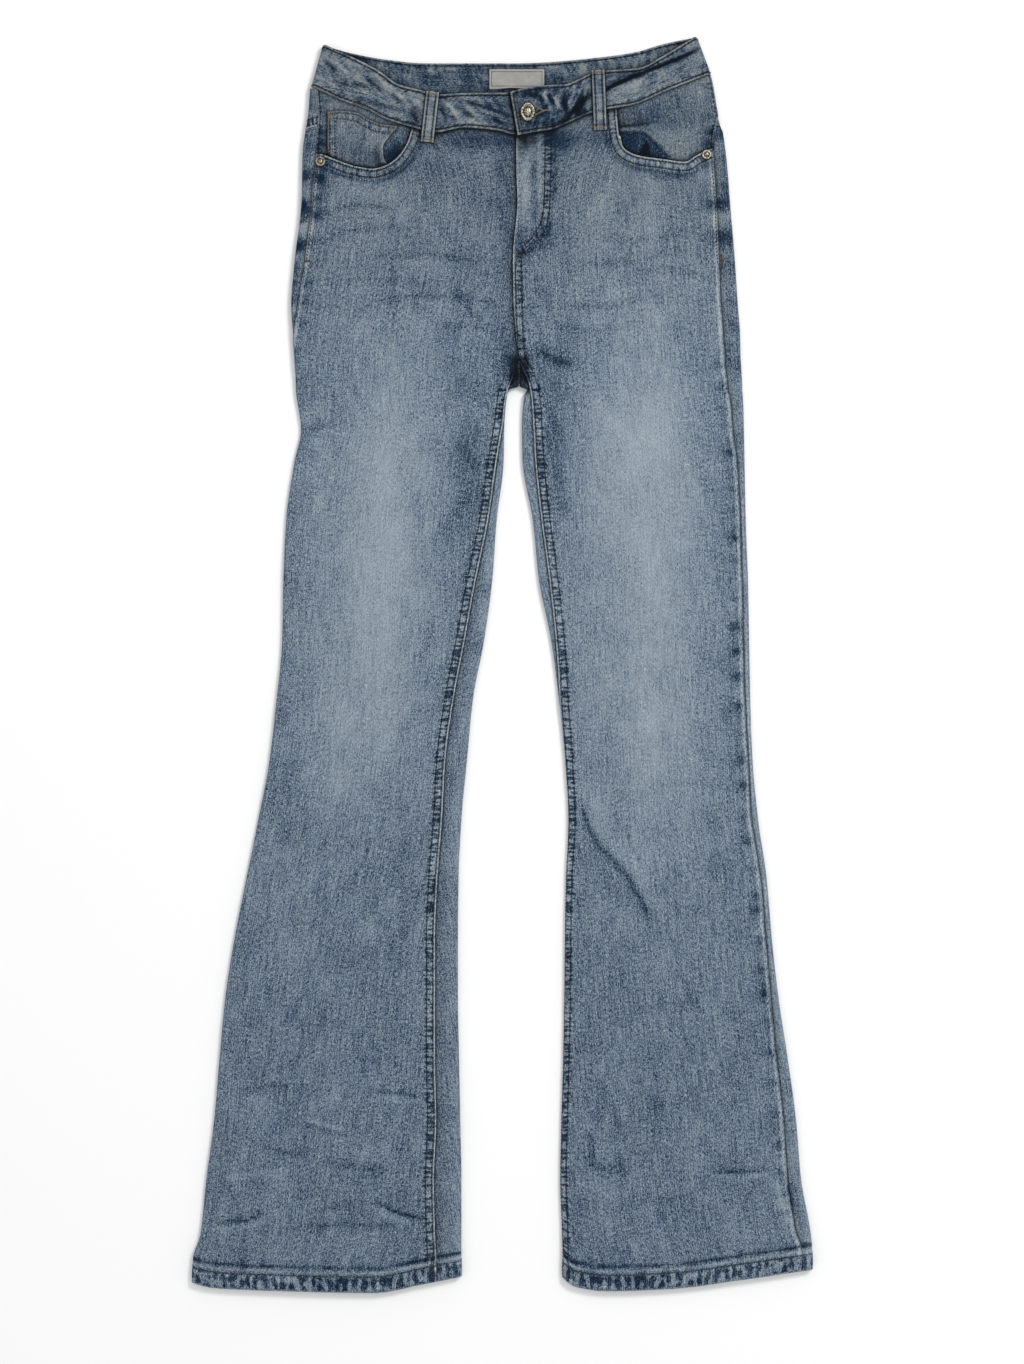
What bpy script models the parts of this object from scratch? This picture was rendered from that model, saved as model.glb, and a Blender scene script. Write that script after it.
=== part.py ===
"""Flared five-pocket jeans laid out flat on their back, front up.

The waist is toward +Y and the hems toward -Y. The wearer's right leg lies at -X and the left one at +X.
All tables and sizes are in millimetres; the meshes are made in metres. Each leg, with its half of the
hips, is a flattened tube: a flat underside, a round fold at the side, and a softly raised top. A place
on that tube is a height y and a girth p, the distance along the cloth from the side fold: positive over
the top, negative round the underside.
"""

from collections import namedtuple

import bmesh
import bpy
import numpy as np

MM = 0.001

# Cloth
WALL = 1.1
HEM_WALL = 2.1
HEM_PROUD = (HEM_WALL - WALL) / 2
HEM_DEPTH = 17.0
BAND_WALL = 2.0
LOOP_WALL = 1.4
SEAM_GAP = 0.3
SLANTED_GAP = 0.5
LAYER_GAP = 0.3

# Heights above the surface that the jeans lie on
SEAT_LIFT = 1.4
SEAT_LIFT_ENDS = (275.0, 205.0)
HEM_LIFT_ENDS = (-500.0, -529.0)
BAND_BACK_OUTER = 1.5
BAND_PROUD = 0.4
Height = namedtuple("Height", "y edge loft")
HEIGHTS = (
    Height(560, 5.2, 0.8),
    Height(450, 5.0, 0.9),
    Height(380, 4.7, 1.2),
    Height(260, 4.4, 1.4),
    Height(200, 4.4, 1.6),
    Height(-480, 4.4, 1.6),
    Height(-525, 5.4, 0.8),
    Height(-560, 5.4, 0.8),
)

# One row for each section of a side: the side fold, the girth of the outer seam from it, the inner edge
# (the middle of the front down to the crotch, then the edge of the leg), and where the inner seam runs.
Section = namedtuple("Section", "y side outseam inner inseam")
RIGHT_SECTIONS = (
    Section(545, -160, 7, 13, 13),
    Section(512, -168, 7, 13, 13),
    Section(484, -170, 10, 13, 13),
    Section(449, -175, 13, 12, 12),
    Section(407, -176, 10, 13, 13),
    Section(354, -182, 10, 9, 9),
    Section(316, -185, 7, 10, 10),
    Section(289, -183.5, 1, 12, 12),
    Section(268, -182.5, -3, 14, 14),
    Section(261, -182, -4, 14.4, 12),
    Section(244, -181, -6, 14.2, 6),
    Section(241, -181, -6.5, 6, 4.5),
    Section(236, -180.5, -7, 4, 3),
    Section(206, -176.5, -8, 1.5, -0.5),
    Section(179, -182, -8, 1, -5),
    Section(127, -189.5, -8, -5, -12.5),
    Section(74, -192, -8, -9, -23.5),
    Section(22, -193, -8, -16, -33),
    Section(-31, -198, -8, -26, -43),
    Section(-83, -204, -8, -31, -50),
    Section(-136, -214, -8, -36, -53),
    Section(-188, -224.5, -8, -38.5, -57),
    Section(-241, -235, -8, -39, -59),
    Section(-293, -243, -8, -39, -59),
    Section(-346, -248, -8, -38, -59),
    Section(-398, -252.5, -8, -37, -58),
    Section(-451, -259.5, -8, -36, -60),
    Section(-503, -265, -8, -36, -59),
    Section(-525, -271, -8, -36, -58),
    Section(-560, -272, -8, -36, -58),
)
LEFT_SECTIONS = (
    Section(545, 172, 2, 13, 13),
    Section(512, 184, 2, 13, 13),
    Section(484, 189, 2, 13, 13),
    Section(463, 193.5, 10, 12, 12),
    Section(434, 197, 13, 12, 12),
    Section(407, 199, 13, 13, 13),
    Section(354, 203.5, 15, 9, 9),
    Section(316, 206, 16, 10, 10),
    Section(289, 208, 16, 12, 12),
    Section(268, 208.5, 15, 14, 14),
    Section(261, 209, 15, 14.6, 17),
    Section(244, 210, 14, 14.8, 23.5),
    Section(241, 210, 14, 21.5, 24),
    Section(236, 210.5, 13, 19, 25),
    Section(206, 211.5, 11, 17, 27),
    Section(179, 212, 8, 17.5, 28.5),
    Section(127, 213, 6, 26.5, 34),
    Section(74, 215, 6.5, 32, 41),
    Section(22, 216, 6.5, 42.5, 46.5),
    Section(-31, 217, 6, 49.5, 50.5),
    Section(-83, 219, 5, 55, 55),
    Section(-136, 224, 7, 58, 57.5),
    Section(-188, 231.5, 6.5, 56, 55),
    Section(-241, 236, 6.5, 55, 54),
    Section(-293, 242, 8, 54.5, 53.5),
    Section(-346, 250, 11, 53.5, 52.5),
    Section(-398, 257, 12, 52, 51),
    Section(-451, 261.5, 13, 51, 50),
    Section(-503, 269, 14, 52.5, 51.5),
    Section(-525, 271, 11, 53, 52),
    Section(-560, 271.5, 10, 53, 52),
)

# Hem edges: where the lower edge runs across each leg
HEM_LINE = -547.0
HEM_BLEND = 110.0
Edge = namedtuple("Edge", "x y")
RIGHT_HEM = (
    Edge(-271, -541), Edge(-255, -545), Edge(-206, -547.5), Edge(-112, -549.5), Edge(-70, -542),
    Edge(-36, -535.5),
)
LEFT_HEM = (
    Edge(51, -535), Edge(63, -544), Edge(92, -548), Edge(147, -546), Edge(210, -538), Edge(273, -529),
)

# Pocket mouths, from the outer seam to the waist seam, and the lower edge of the facing behind each
RIGHT_MOUTH = (
    Edge(-160, 447.5), Edge(-128, 436), Edge(-114, 434), Edge(-101, 437.5), Edge(-91, 445),
    Edge(-82.5, 458.5), Edge(-79, 470),
)
LEFT_MOUTH = (
    Edge(183, 452), Edge(170, 446), Edge(159, 440), Edge(143, 442), Edge(117, 446), Edge(105.5, 453),
    Edge(101.5, 465), Edge(99.5, 487),
)
FACING_UNDERLAP = 10.0
FACING_DIP = 1.5
FACING_LEDGE = 6.0
FACING_RISE = 18.0
FACING_WALL = 1.0
FACING_CORNER_START, FACING_CORNER_REACH = 25.0, 12.0
FACING_COLUMNS, FACING_ROWS = 14, 9

# Waistband: ribs across it, each from its lower edge to its upper edge
Rib = namedtuple("Rib", "low_x low_y high_x high_y")
BAND_RIGHT = (
    Rib(35, 467, 30, 503), Rib(13, 464, 7, 501), Rib(-7, 468, -2, 500.5), Rib(-34, 470, -28, 500.5),
    Rib(-58, 466, -56, 499), Rib(-81, 471, -72, 503), Rib(-101, 477, -91, 508), Rib(-121, 487, -110, 521),
    Rib(-141, 494, -134, 533), Rib(-165, 505, -154.5, 542.5),
)
BAND_LEFT = (
    Rib(13, 463, 6.5, 501), Rib(27.5, 466, 24, 505), Rib(41.5, 468, 41.5, 507), Rib(53, 472.5, 55.5, 508),
    Rib(77.5, 483, 79, 518), Rib(90.5, 486, 90.5, 520), Rib(114, 490, 118.5, 522), Rib(143, 502, 141, 533),
    Rib(180, 516.5, 167.5, 549.5),
)
BAND_BACK = (
    Rib(180, 516.5, 167.5, 549.5), Rib(148, 508, 141, 544), Rib(120, 501, 117, 537), Rib(85, 496, 83, 532),
    Rib(13, 489, 13, 527), Rib(-63, 490, -65, 527), Rib(-98, 493.5, -100, 530), Rib(-138, 500, -137, 537),
    Rib(-165, 505, -154.5, 542.5),
)
OVERLAP_LIFT_ENDS = (38.0, 54.0)
BAND_STEPS_BETWEEN_RIBS = 2
BAND_ROWS = 4
BAND_FOLD_ANGLES = (45, 90, 135)

# Yoke seam: where it meets the outer seams and the middle of the back
YOKE_SIDE_RIGHT = 484.0
YOKE_SIDE_LEFT = 494.0
YOKE_MIDDLE = 430.0
YOKE_BEND = (-0.5, 1.1)
YOKE_ROWS = 5
CENTRE_BACK = 13.0
SEAT_BLEND = (335.0, 268.0)
CROTCH_RISE = (284.0, 268.0)

# Fly: how far the right front runs on under the left one, and down to where
FLY_UNDERLAP = 7.0
FLY_END = 350.0
FLY_LIFT = WALL + LAYER_GAP
FLY_LIFT_FLAT, FLY_LIFT_REACH = FLY_UNDERLAP + 6, FLY_UNDERLAP + 24
FLY_LIFT_ENDS = (FLY_END - 25, FLY_END - 1)
CLEAR_OF_FOLD = 20.0

# Rows of the panels' grids
TORSO_ROWS = (400, 375, 350, 325, 306, 298, 291, 284, 276)
CROTCH_ROWS = (268, 262, 255, 248, 244.5, 241, 236, 222)
LEG_TOP, LEG_BOTTOM, LEG_ROW_COUNT = 203.0, -505.0, 21
ROWS_ABOVE = 5
CLOSEST = 1.6
CLOSEST_FLY = 3.0
FOLD_STEP = 2.2
FOLD_COLUMNS, INNER_COLUMNS = 5, 4
BACK_MIDDLE_COLUMNS = 6
MOUTH_COLUMNS = 9
NORMAL_STEP = 0.05

# Heights at which lines that run at a slant are first looked up
WAIST_END_HEIGHT = 465.0
BAND_HEIGHT = 480.0
WAIST_GUESS = 490.0
MOUTH_GUESS = 440.0
SETTLING_ROUNDS = 6

# Small pieces
COIN_TOP = (Edge(-153, 484), Edge(-127, 483), Edge(-104, 472))
COIN_WALL = 0.9
COIN_FOOT_GAP = 1.0
COIN_COLUMNS, COIN_ROWS = 9, 6
PATCH_TOP_WIDTH, PATCH_LOW_WIDTH = 138.0, 116.0
PATCH_SIDE_HEIGHT, PATCH_MIDDLE_HEIGHT = 126.0, 144.0
PATCH_TOP = 424.0
PATCH_COLUMNS, PATCH_ROWS = 9, 6
PATCH_CENTRES = {"right": -82.0, "left": 108.0}
LOOP_WIDTH = 11.0
LOOP_STEP_ENDS = (-5.0, -0.5)
LOOP_OVER_BAND = 0.1
LOOP_ROWS, LOOP_COLUMNS = 15, 3
BACK_LOOP_ROWS = 4
Loop = namedtuple("Loop", "name top_x top_y foot_x foot_y")
FRONT_LOOPS = (
    Loop("belt_loop_front_right", -61, 501, -66, 457.5),
    Loop("belt_loop_front_left", 83.5, 520, 85.5, 468),
)
BACK_LOOPS = (
    Loop("belt_loop_back_right", -106, 529.5, -104, 479),
    Loop("belt_loop_centre", 13, 526, 13, 475),
    Loop("belt_loop_back_left", 118, 535.5, 120, 486),
)
BACK_LOOP_WALL = 1.1
BUTTON_CENTRE = (22.5, 483.0)
BUTTON_PROFILE = (
    (0, 2.9), (3.6, 2.7), (4.4, 2.2), (5.6, 2.1), (6.6, 2.9), (7.6, 2.9), (8.5, 2.2), (8.5, 0.8), (7.6, 0),
)
RIVET_CENTRES = {"right": (-159.5, 440.5), "left": (178.5, 446.5)}
RIVET_PROFILE = ((0, 1.3), (1.3, 1.25), (2.0, 0.9), (2.7, 0.85), (3.6, 1.1), (4.3, 0.7), (4.4, 0.2), (4.0, 0))
ROUND_STEPS = 28
LABEL_CENTRE = (12.5, 513.0)
LABEL_SIZE = (48.0, 17.0)
LABEL_WALL = 0.8
LABEL_COLUMNS = 5

DENIM = (0.20, 0.30, 0.42)
METAL = (0.62, 0.58, 0.50)
LABEL_CLOTH = (0.62, 0.62, 0.58)


def smoothstep(value, start, end):
    """0 before start and 1 after end, with a soft passage between; start may be the larger."""
    t = np.clip((np.asarray(value, float) - start) / (end - start), 0, 1)
    return t * t * (3 - 2 * t)


def curve(places, values, at):
    """A smooth curve through the given values that never overshoots them."""
    x = np.asarray(places, float)
    y = np.asarray(values, float)
    if x[0] > x[-1]:
        x, y = x[::-1], y[::-1]
    step = np.diff(x)
    rise = np.diff(y) / step
    slope = np.zeros_like(y)
    same = rise[:-1] * rise[1:] > 0
    first, second = 2 * step[1:] + step[:-1], step[1:] + 2 * step[:-1]
    with np.errstate(divide="ignore", invalid="ignore"):
        middle = (first + second) / (first / rise[:-1] + second / rise[1:])
    slope[1:-1] = np.where(same, middle, 0)
    slope[0], slope[-1] = rise[0], rise[-1]
    at = np.clip(np.asarray(at, float), x[0], x[-1])
    k = np.clip(np.searchsorted(x, at, side="right") - 1, 0, len(step) - 1)
    t = (at - x[k]) / step[k]
    ends = (1 + 2 * t) * (1 - t) ** 2 * y[k] + t * t * (3 - 2 * t) * y[k + 1]
    slopes = t * (1 - t) ** 2 * slope[k] + t * t * (t - 1) * slope[k + 1]
    return ends + step[k] * slopes


def column(rows, name, at, key="y"):
    """A named column of a table, read at any place between its rows."""
    return curve([getattr(row, key) for row in rows], [getattr(row, name) for row in rows], at)


def along(points, count):
    """Points evenly spaced along a smooth line through the given ones."""
    points = np.asarray(points, float)
    knots = np.arange(len(points))
    fine = np.linspace(0, len(points) - 1, 40 * len(points))
    dense = np.stack([curve(knots, points[:, axis], fine) for axis in range(points.shape[1])], axis=1)
    length = np.concatenate([[0], np.cumsum(np.linalg.norm(np.diff(dense, axis=0), axis=1))])
    want = np.linspace(0, length[-1], count)
    return np.stack([np.interp(want, length, dense[:, axis]) for axis in range(points.shape[1])], axis=1)


def band_ribs(ribs):
    steps = BAND_STEPS_BETWEEN_RIBS * (len(ribs) - 1) + 1
    knots = np.arange(len(ribs))
    at = np.linspace(0, len(ribs) - 1, steps)
    return np.stack([curve(knots, [rib[k] for rib in ribs], at) for k in range(4)], axis=1)


class Side:
    """One leg with its half of the hips: a flattened tube that panels are read from."""

    def __init__(self, name, sections, hem, mouth, band, sign):
        self.name, self.sections, self.hem, self.mouth, self.band = name, sections, hem, mouth, band
        self.inward = sign

    def side(self, y):
        return column(self.sections, "side", y)

    def leg_share(self, y):
        """0 in the hips, where both halves share one hollow, and 1 in the legs."""
        return smoothstep(y, *SEAT_BLEND)

    def inner(self, y, back=False):
        line = column(self.sections, "inner", y)
        if not back:
            return line
        return CENTRE_BACK + (line - CENTRE_BACK) * self.leg_share(y)

    def floor(self, y):
        """Height of the lower surface: clear of the patch pockets at the seat, and of the doubled hem."""
        hem = HEM_PROUD * smoothstep(y, *HEM_LIFT_ENDS)
        return SEAT_LIFT * (1 - smoothstep(y, *SEAT_LIFT_ENDS)) + hem

    def edge(self, y):
        return column(HEIGHTS, "edge", y)

    def top(self, x, y):
        """Height of the upper surface."""
        radius = self.edge(y) / 2
        low, high = RIGHT.side(y) + radius, LEFT.side(y) - radius
        across = np.clip((x - low) / (high - low), 0, 1)
        inner_round = radius * self.leg_share(y)
        start, end = self.side(y) + self.inward * radius, self.inner(y) - self.inward * inner_round
        in_leg = np.clip((x - start) / (end - start), 0, 1)
        hips = 1 - np.abs(2 * across - 1) ** 4
        leg = 1 - np.abs(2 * in_leg - 1) ** 4
        share = self.leg_share(y)
        bulge = hips * (1 - share) + leg * share
        return self.floor(y) + self.edge(y) + column(HEIGHTS, "loft", y) * bulge

    def fold(self, girth, radius, wall):
        """Distance in from an edge, and height in units from its middle, for a girth along its fold."""
        size = np.abs(girth)
        angle = np.clip((size - wall / 2) / np.maximum(radius, 1e-6), 0, np.pi / 2)
        flat = np.maximum(size - wall / 2 - radius * np.pi / 2, 0)
        distance = radius * (1 - np.cos(angle)) + flat
        rise = np.minimum(size, wall / 2) + radius * np.sin(angle)
        return distance, np.sign(girth) * rise

    def girth(self, y, back=False):
        """Length over the top from the side fold to the inner edge, and the inner fold's radius and wall."""
        radius = self.edge(y) / 2
        inner = self.inner(y, back)
        height = self.top(inner, y) - self.floor(y)
        inner_radius = height / 2 * self.leg_share(y)
        wall = height - 2 * inner_radius
        width = np.abs(inner - self.side(y))
        total = radius * np.pi / 2 + width - radius - inner_radius + inner_radius * np.pi / 2 + wall / 2
        return total, inner_radius, wall

    def place(self, y, p, back=False):
        """The point of the outer surface at height y and girth p."""
        y, p = np.broadcast_arrays(np.asarray(y, float), np.asarray(p, float))
        total, inner_radius, wall = self.girth(y, back)
        radius = self.edge(y) / 2
        near, near_rise = self.fold(p, radius, 0)
        from_inner = np.where(p > 0, total - p, -(total + p))
        far, far_rise = self.fold(from_inner, inner_radius, wall)
        by_side = np.abs(p) < total / 2
        x_near = self.side(y) + self.inward * near
        x_far = self.inner(y, back) - self.inward * far
        x = np.where(by_side, x_near, x_far)
        over = np.where(by_side, p > 0, from_inner > 0)
        top = self.top(x, y)
        bottom = self.floor(y)
        edge_middle = bottom + self.edge(y) / 2
        inner_middle = (self.top(self.inner(y, back), y) + bottom) / 2
        on_fold = np.where(by_side, near < radius - 1e-9, far < inner_radius - 1e-9)
        folded = np.where(by_side, edge_middle + near_rise, inner_middle + far_rise)
        flat = np.where(over, top, bottom)
        z = np.where(on_fold, folded, flat)
        z = np.where(~by_side & (np.abs(from_inner) < wall / 2), inner_middle + from_inner, z)
        return np.stack([x, y, z], axis=-1)

    def girth_at(self, x, y):
        """The girth over the top at a place x that lies clear of the folds."""
        radius = self.edge(y) / 2
        return self.inward * (x - self.side(y)) + radius * (np.pi / 2 - 1)

    def outseam(self, y):
        return column(self.sections, "outseam", y)

    def inseam(self, y, back=False):
        """Girth where the front panel ends: the middle of the front, then the inner seam."""
        total, inner_radius, wall = self.girth(y, back)
        inset = self.inward * (self.inner(y, back) - column(self.sections, "inseam", y))
        on_top = wall / 2 + inner_radius * (np.pi / 2 - 1) + inset
        small = inset * np.pi / 2
        return total - np.where(inset > inner_radius, on_top, wall / 2 + small)

    def hem_shift(self, x, y):
        """How far a row near the hem follows the hem's own edge."""
        share = smoothstep(y, HEM_LINE + HEM_BLEND, HEM_LINE)
        return share * (curve([edge.x for edge in self.hem], [edge.y for edge in self.hem], x) - HEM_LINE)

    def waist(self, x):
        """Height of the waist seam at the front, on the band's own lower edge."""
        ribs = band_ribs(self.band)
        order = np.argsort(ribs[:, 0])
        return np.interp(x, ribs[order, 0], ribs[order, 1])


RIGHT = Side("right", RIGHT_SECTIONS, RIGHT_HEM, RIGHT_MOUTH, BAND_RIGHT, 1)
LEFT = Side("left", LEFT_SECTIONS, LEFT_HEM, LEFT_MOUTH, BAND_LEFT, -1)
SIDES = (RIGHT, LEFT)


def material(name, colour, roughness, metallic=0.0):
    made = bpy.data.materials.get(name)
    if made is None:
        made = bpy.data.materials.new(name)
        made.use_nodes = True
        shader = made.node_tree.nodes["Principled BSDF"]
        shader.inputs["Base Color"].default_value = (*colour, 1)
        shader.inputs["Roughness"].default_value = roughness
        shader.inputs["Metallic"].default_value = metallic
    return made


def denim():
    return material("washed denim", DENIM, 0.9)


def add_object(name, bm, finish, smooth_angle=40):
    bmesh.ops.recalc_face_normals(bm, faces=bm.faces)
    if bm.calc_volume(signed=True) < 0:
        bmesh.ops.reverse_faces(bm, faces=bm.faces)
    mesh = bpy.data.meshes.new(name)
    bm.to_mesh(mesh)
    bm.free()
    mesh.materials.append(finish)
    mesh.shade_smooth()
    mesh.set_sharp_from_angle(angle=np.radians(smooth_angle))
    made = bpy.data.objects.new(name, mesh)
    bpy.context.scene.collection.objects.link(made)
    return made


def add_sheet(name, outer, inner, finish):
    """A closed sheet of cloth between two grids of points."""
    bm = bmesh.new()
    rows, columns = outer.shape[:2]
    front = [[bm.verts.new(point * MM) for point in row] for row in outer]
    back = [[bm.verts.new(point * MM) for point in row] for row in inner]
    for i in range(rows - 1):
        for j in range(columns - 1):
            bm.faces.new((front[i][j], front[i][j + 1], front[i + 1][j + 1], front[i + 1][j]))
            bm.faces.new((back[i][j], back[i + 1][j], back[i + 1][j + 1], back[i][j + 1]))
    rim = [(0, j) for j in range(columns)] + [(i, columns - 1) for i in range(1, rows)]
    rim += [(rows - 1, j) for j in range(columns - 2, -1, -1)] + [(i, 0) for i in range(rows - 2, 0, -1)]
    for (i, j), (k, m) in zip(rim, rim[1:] + rim[:1]):
        bm.faces.new((front[i][j], back[i][j], back[k][m], front[k][m]))
    return add_object(name, bm, finish)


def layers(surface, y, p, sign, raised, wall):
    """Outer and inner points of a sheet: raised above the surface, and a wall's thickness below that."""
    step = NORMAL_STEP
    across = surface(y, p + step) - surface(y, p - step)
    up = surface(y + step, p) - surface(y - step, p)
    normal = np.cross(across, up) * sign
    normal /= np.linalg.norm(normal, axis=-1, keepdims=True)
    outer = surface(y, p) + normal * np.asarray(raised)[..., None]
    return outer, outer - normal * np.broadcast_to(wall, y.shape)[..., None]


def spread(start, end, turn, count_start, count_end, count, closest_end=CLOSEST):
    """Girths across a row, closer together where the cloth turns round the fold at each end."""
    turn_start, turn_end = turn
    first = [start]
    for k in range(count_start):
        on_fold = turn_start + (k - (count_start - 1) / 2) * FOLD_STEP
        first.append(max(start + CLOSEST * (k + 1), on_fold))
    last = [end]
    for k in range(count_end):
        on_fold = turn_end - (k - (count_end - 1) / 2) * FOLD_STEP
        last.append(min(end - closest_end * (k + 1), on_fold))
    middle = np.linspace(first[-1], last[-1], count + 2)[1:-1]
    return np.array(first + list(middle) + last[::-1])


def leg_rows():
    legs = np.linspace(LEG_TOP, LEG_BOTTOM, LEG_ROW_COUNT)
    hem_top = HEM_LINE + HEM_DEPTH
    hem = (hem_top + 0.6, hem_top, HEM_LINE)
    return np.concatenate([TORSO_ROWS, CROTCH_ROWS, legs, hem])


def hem_walls(rows):
    """Wall thickness and how far the outer face is raised, row by row: the hem is turned up double."""
    doubled = rows <= HEM_LINE + HEM_DEPTH + 0.1
    return np.where(doubled, HEM_WALL, WALL), np.where(doubled, HEM_PROUD, 0)


def fly_underlap(side, y):
    return FLY_UNDERLAP * (y > FLY_END + 1) if side is RIGHT else np.zeros_like(y)


def fly_lift(side, x, y):
    """The left front lies over the right one beside the fly."""
    if side is RIGHT:
        return np.zeros_like(x)
    past = np.abs(x - side.inner(y))
    across = 1 - smoothstep(past, FLY_LIFT_FLAT, FLY_LIFT_REACH)
    return FLY_LIFT * across * smoothstep(y, *FLY_LIFT_ENDS)


def front_top(side, count_mouth):
    """The upper edge of a front panel: along the pocket mouth, then along the band's ribs at the waist."""
    mouth = [(edge.x, edge.y) for edge in side.mouth]
    corner_x = mouth[-1][0]
    mouth[-1] = (corner_x, float(side.waist(corner_x)) - SEAM_GAP)
    over = along(mouth, count_mouth)
    height = np.array(WAIST_END_HEIGHT)
    end = float(side.inner(height) + fly_underlap(side, height)) - side.inward * SEAM_GAP / 2
    ribs = band_ribs(side.band)[:, 0] * side.inward
    between = np.sort(ribs[(ribs > corner_x * side.inward + 4) & (ribs < end * side.inward - 4)])
    xs = np.append(between * side.inward, end)
    waist = np.stack([xs, side.waist(xs) - SEAM_GAP], axis=1)
    return np.concatenate([over, waist])


def front_panel(side):
    top = front_top(side, MOUTH_COLUMNS)
    rows = leg_rows()
    count = len(top)

    def ends(y):
        start = side.outseam(y) + SEAM_GAP / 2
        end = side.inseam(y) - SEAM_GAP / 2 + fly_underlap(side, y)
        return start, end

    girths = []
    for y in rows:
        start, end = ends(y)
        total, _, _ = side.girth(y)
        middle = count - FOLD_COLUMNS - INNER_COLUMNS - 2
        girths.append(spread(start, end, (0, total), FOLD_COLUMNS, INNER_COLUMNS, middle, CLOSEST_FLY))
    start, end = ends(top[:, 1])
    top_share = (side.girth_at(top[:, 0], top[:, 1]) - start) / (end - start)
    top_share = np.clip(top_share, 0, 1)
    top_share[0] = 0
    first_share = (girths[0] - girths[0][0]) / (girths[0][-1] - girths[0][0])
    above_y, above_p = [], []
    for step in np.linspace(0, 1, ROWS_ABOVE, endpoint=False):
        y = top[:, 1] + (rows[0] - top[:, 1]) * step
        start, end = ends(y)
        share = top_share + (first_share - top_share) * step
        above_y.append(y)
        above_p.append(start + share * (end - start))
    y = np.concatenate([above_y, np.repeat(rows[:, None], count, axis=1)])
    p = np.concatenate([above_p, girths])
    all_rows = np.concatenate([np.full(ROWS_ABOVE, rows[0]), rows])
    wall, raised = hem_walls(all_rows)

    def surface(y, p):
        points = side.place(y, p)
        past_end = p - side.inseam(y)
        flat = (past_end > 0) & (fly_underlap(side, y) > 0)
        points[..., 0] = np.where(flat, side.inner(y) + side.inward * past_end, points[..., 0])
        points[..., 2] = np.where(flat, side.top(side.inner(y), y), points[..., 2])
        points[..., 2] += fly_lift(side, points[..., 0], y) * (p > CLEAR_OF_FOLD)
        points[..., 1] += side.hem_shift(points[..., 0], y)
        return points

    outer, inner = layers(surface, y, p, side.inward, raised[:, None] + np.zeros_like(y), wall[:, None])
    return add_sheet(f"front_{side.name}", outer, inner, denim())


def yoke_line(side, share):
    """Height of the yoke seam, from the outer seam to the middle of the back."""
    start = YOKE_SIDE_RIGHT if side is RIGHT else YOKE_SIDE_LEFT
    return start + (YOKE_MIDDLE - start) * smoothstep(share, *YOKE_BEND) / smoothstep(1.0, *YOKE_BEND)


def back_waist(x):
    """Height of the waist seam at the back."""
    ribs = band_ribs(BAND_BACK)[::-1]
    return np.interp(x, ribs[:, 0], ribs[:, 1])


def back_surface(side):
    def surface(y, p):
        points = side.place(y, p, back=True)
        points[..., 1] += side.hem_shift(points[..., 0], y)
        return points

    return surface


def back_end(side, y):
    """Girth where a back panel ends: the middle of the back, up round the crotch, then the inner seam."""
    total, _, wall = side.girth(y, back=True)
    under = -(total - wall / 2)
    seam = -(2 * total - side.inseam(y, back=True))
    rising = smoothstep(y, *CROTCH_RISE)
    return under + (seam - under) * rising + SEAM_GAP / 2


def back_row(side, y):
    """Girths across a back panel, from the outer seam round the underside."""
    start = side.outseam(y) - SEAM_GAP / 2
    total, _, _ = side.girth(y, back=True)
    end = back_end(side, y)
    return -spread(-start, -end, (0, total), FOLD_COLUMNS, INNER_COLUMNS, BACK_MIDDLE_COLUMNS)


def back_share(side):
    """The same places as shares of the whole, for the rows that don't run straight across."""
    first = back_row(side, TORSO_ROWS[0])
    return (first - first[0]) / (first[-1] - first[0])


def back_panel(side):
    rows = leg_rows()
    girths = np.array([back_row(side, y) for y in rows])
    count = girths.shape[1]
    share = back_share(side)
    above_y, above_p = [], []
    top = yoke_line(side, share) - SLANTED_GAP / 2
    for step in np.linspace(0, 1, ROWS_ABOVE, endpoint=False):
        y = top + (rows[0] - top) * step
        start, end = side.outseam(y) - SEAM_GAP / 2, back_end(side, y)
        above_y.append(y)
        above_p.append(start + share * (end - start))
    y = np.concatenate([above_y, np.repeat(rows[:, None], count, axis=1)])
    p = np.concatenate([above_p, girths])
    wall, raised = hem_walls(np.concatenate([np.full(ROWS_ABOVE, rows[0]), rows]))
    outer, inner = layers(
        back_surface(side), y, p, side.inward, raised[:, None] + np.zeros_like(y), wall[:, None]
    )
    return add_sheet(f"back_{side.name}", outer, inner, denim())


def settled(height, girth_between, x_at, share, start):
    """Heights of an edge that follows a line given over x, found by going back and forth a few times."""
    y = np.full_like(share, start)
    for _ in range(SETTLING_ROUNDS):
        p = girth_between(y, share)
        y = height(x_at(y, p), p)
    return y


def yoke(side):
    share = back_share(side)

    def between(y, share):
        total, _, wall = side.girth(y, back=True)
        start, end = side.outseam(y) - SEAM_GAP / 2, -(total - wall / 2) + SEAM_GAP / 2
        return start + share * (end - start)

    def x_at(y, p):
        return side.place(y, p, back=True)[..., 0]

    def waist(x, p):
        return np.where(p > 0, side.waist(x), back_waist(x))

    low = yoke_line(side, share) + SLANTED_GAP / 2
    high = settled(waist, between, x_at, share, WAIST_GUESS) - SLANTED_GAP
    ys = high + (low - high) * np.linspace(0, 1, YOKE_ROWS)[:, None]
    ps = np.array([between(y, share) for y in ys])
    outer, inner = layers(back_surface(side), ys, ps, side.inward, 0 * ys, WALL)
    return add_sheet(f"yoke_{side.name}", outer, inner, denim())


def mouth_height(side, x):
    return column(side.mouth, "y", x, "x")


def facing_offset(side, x, y):
    """How far a facing lies below the front's level: deep under the panel, level at the waist and side."""
    above = y - mouth_height(side, x)
    beside = side.inward * (side.mouth[-1].x - x)
    return FACING_DIP * (1 - smoothstep(np.minimum(above, beside), FACING_LEDGE, FACING_RISE))


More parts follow.
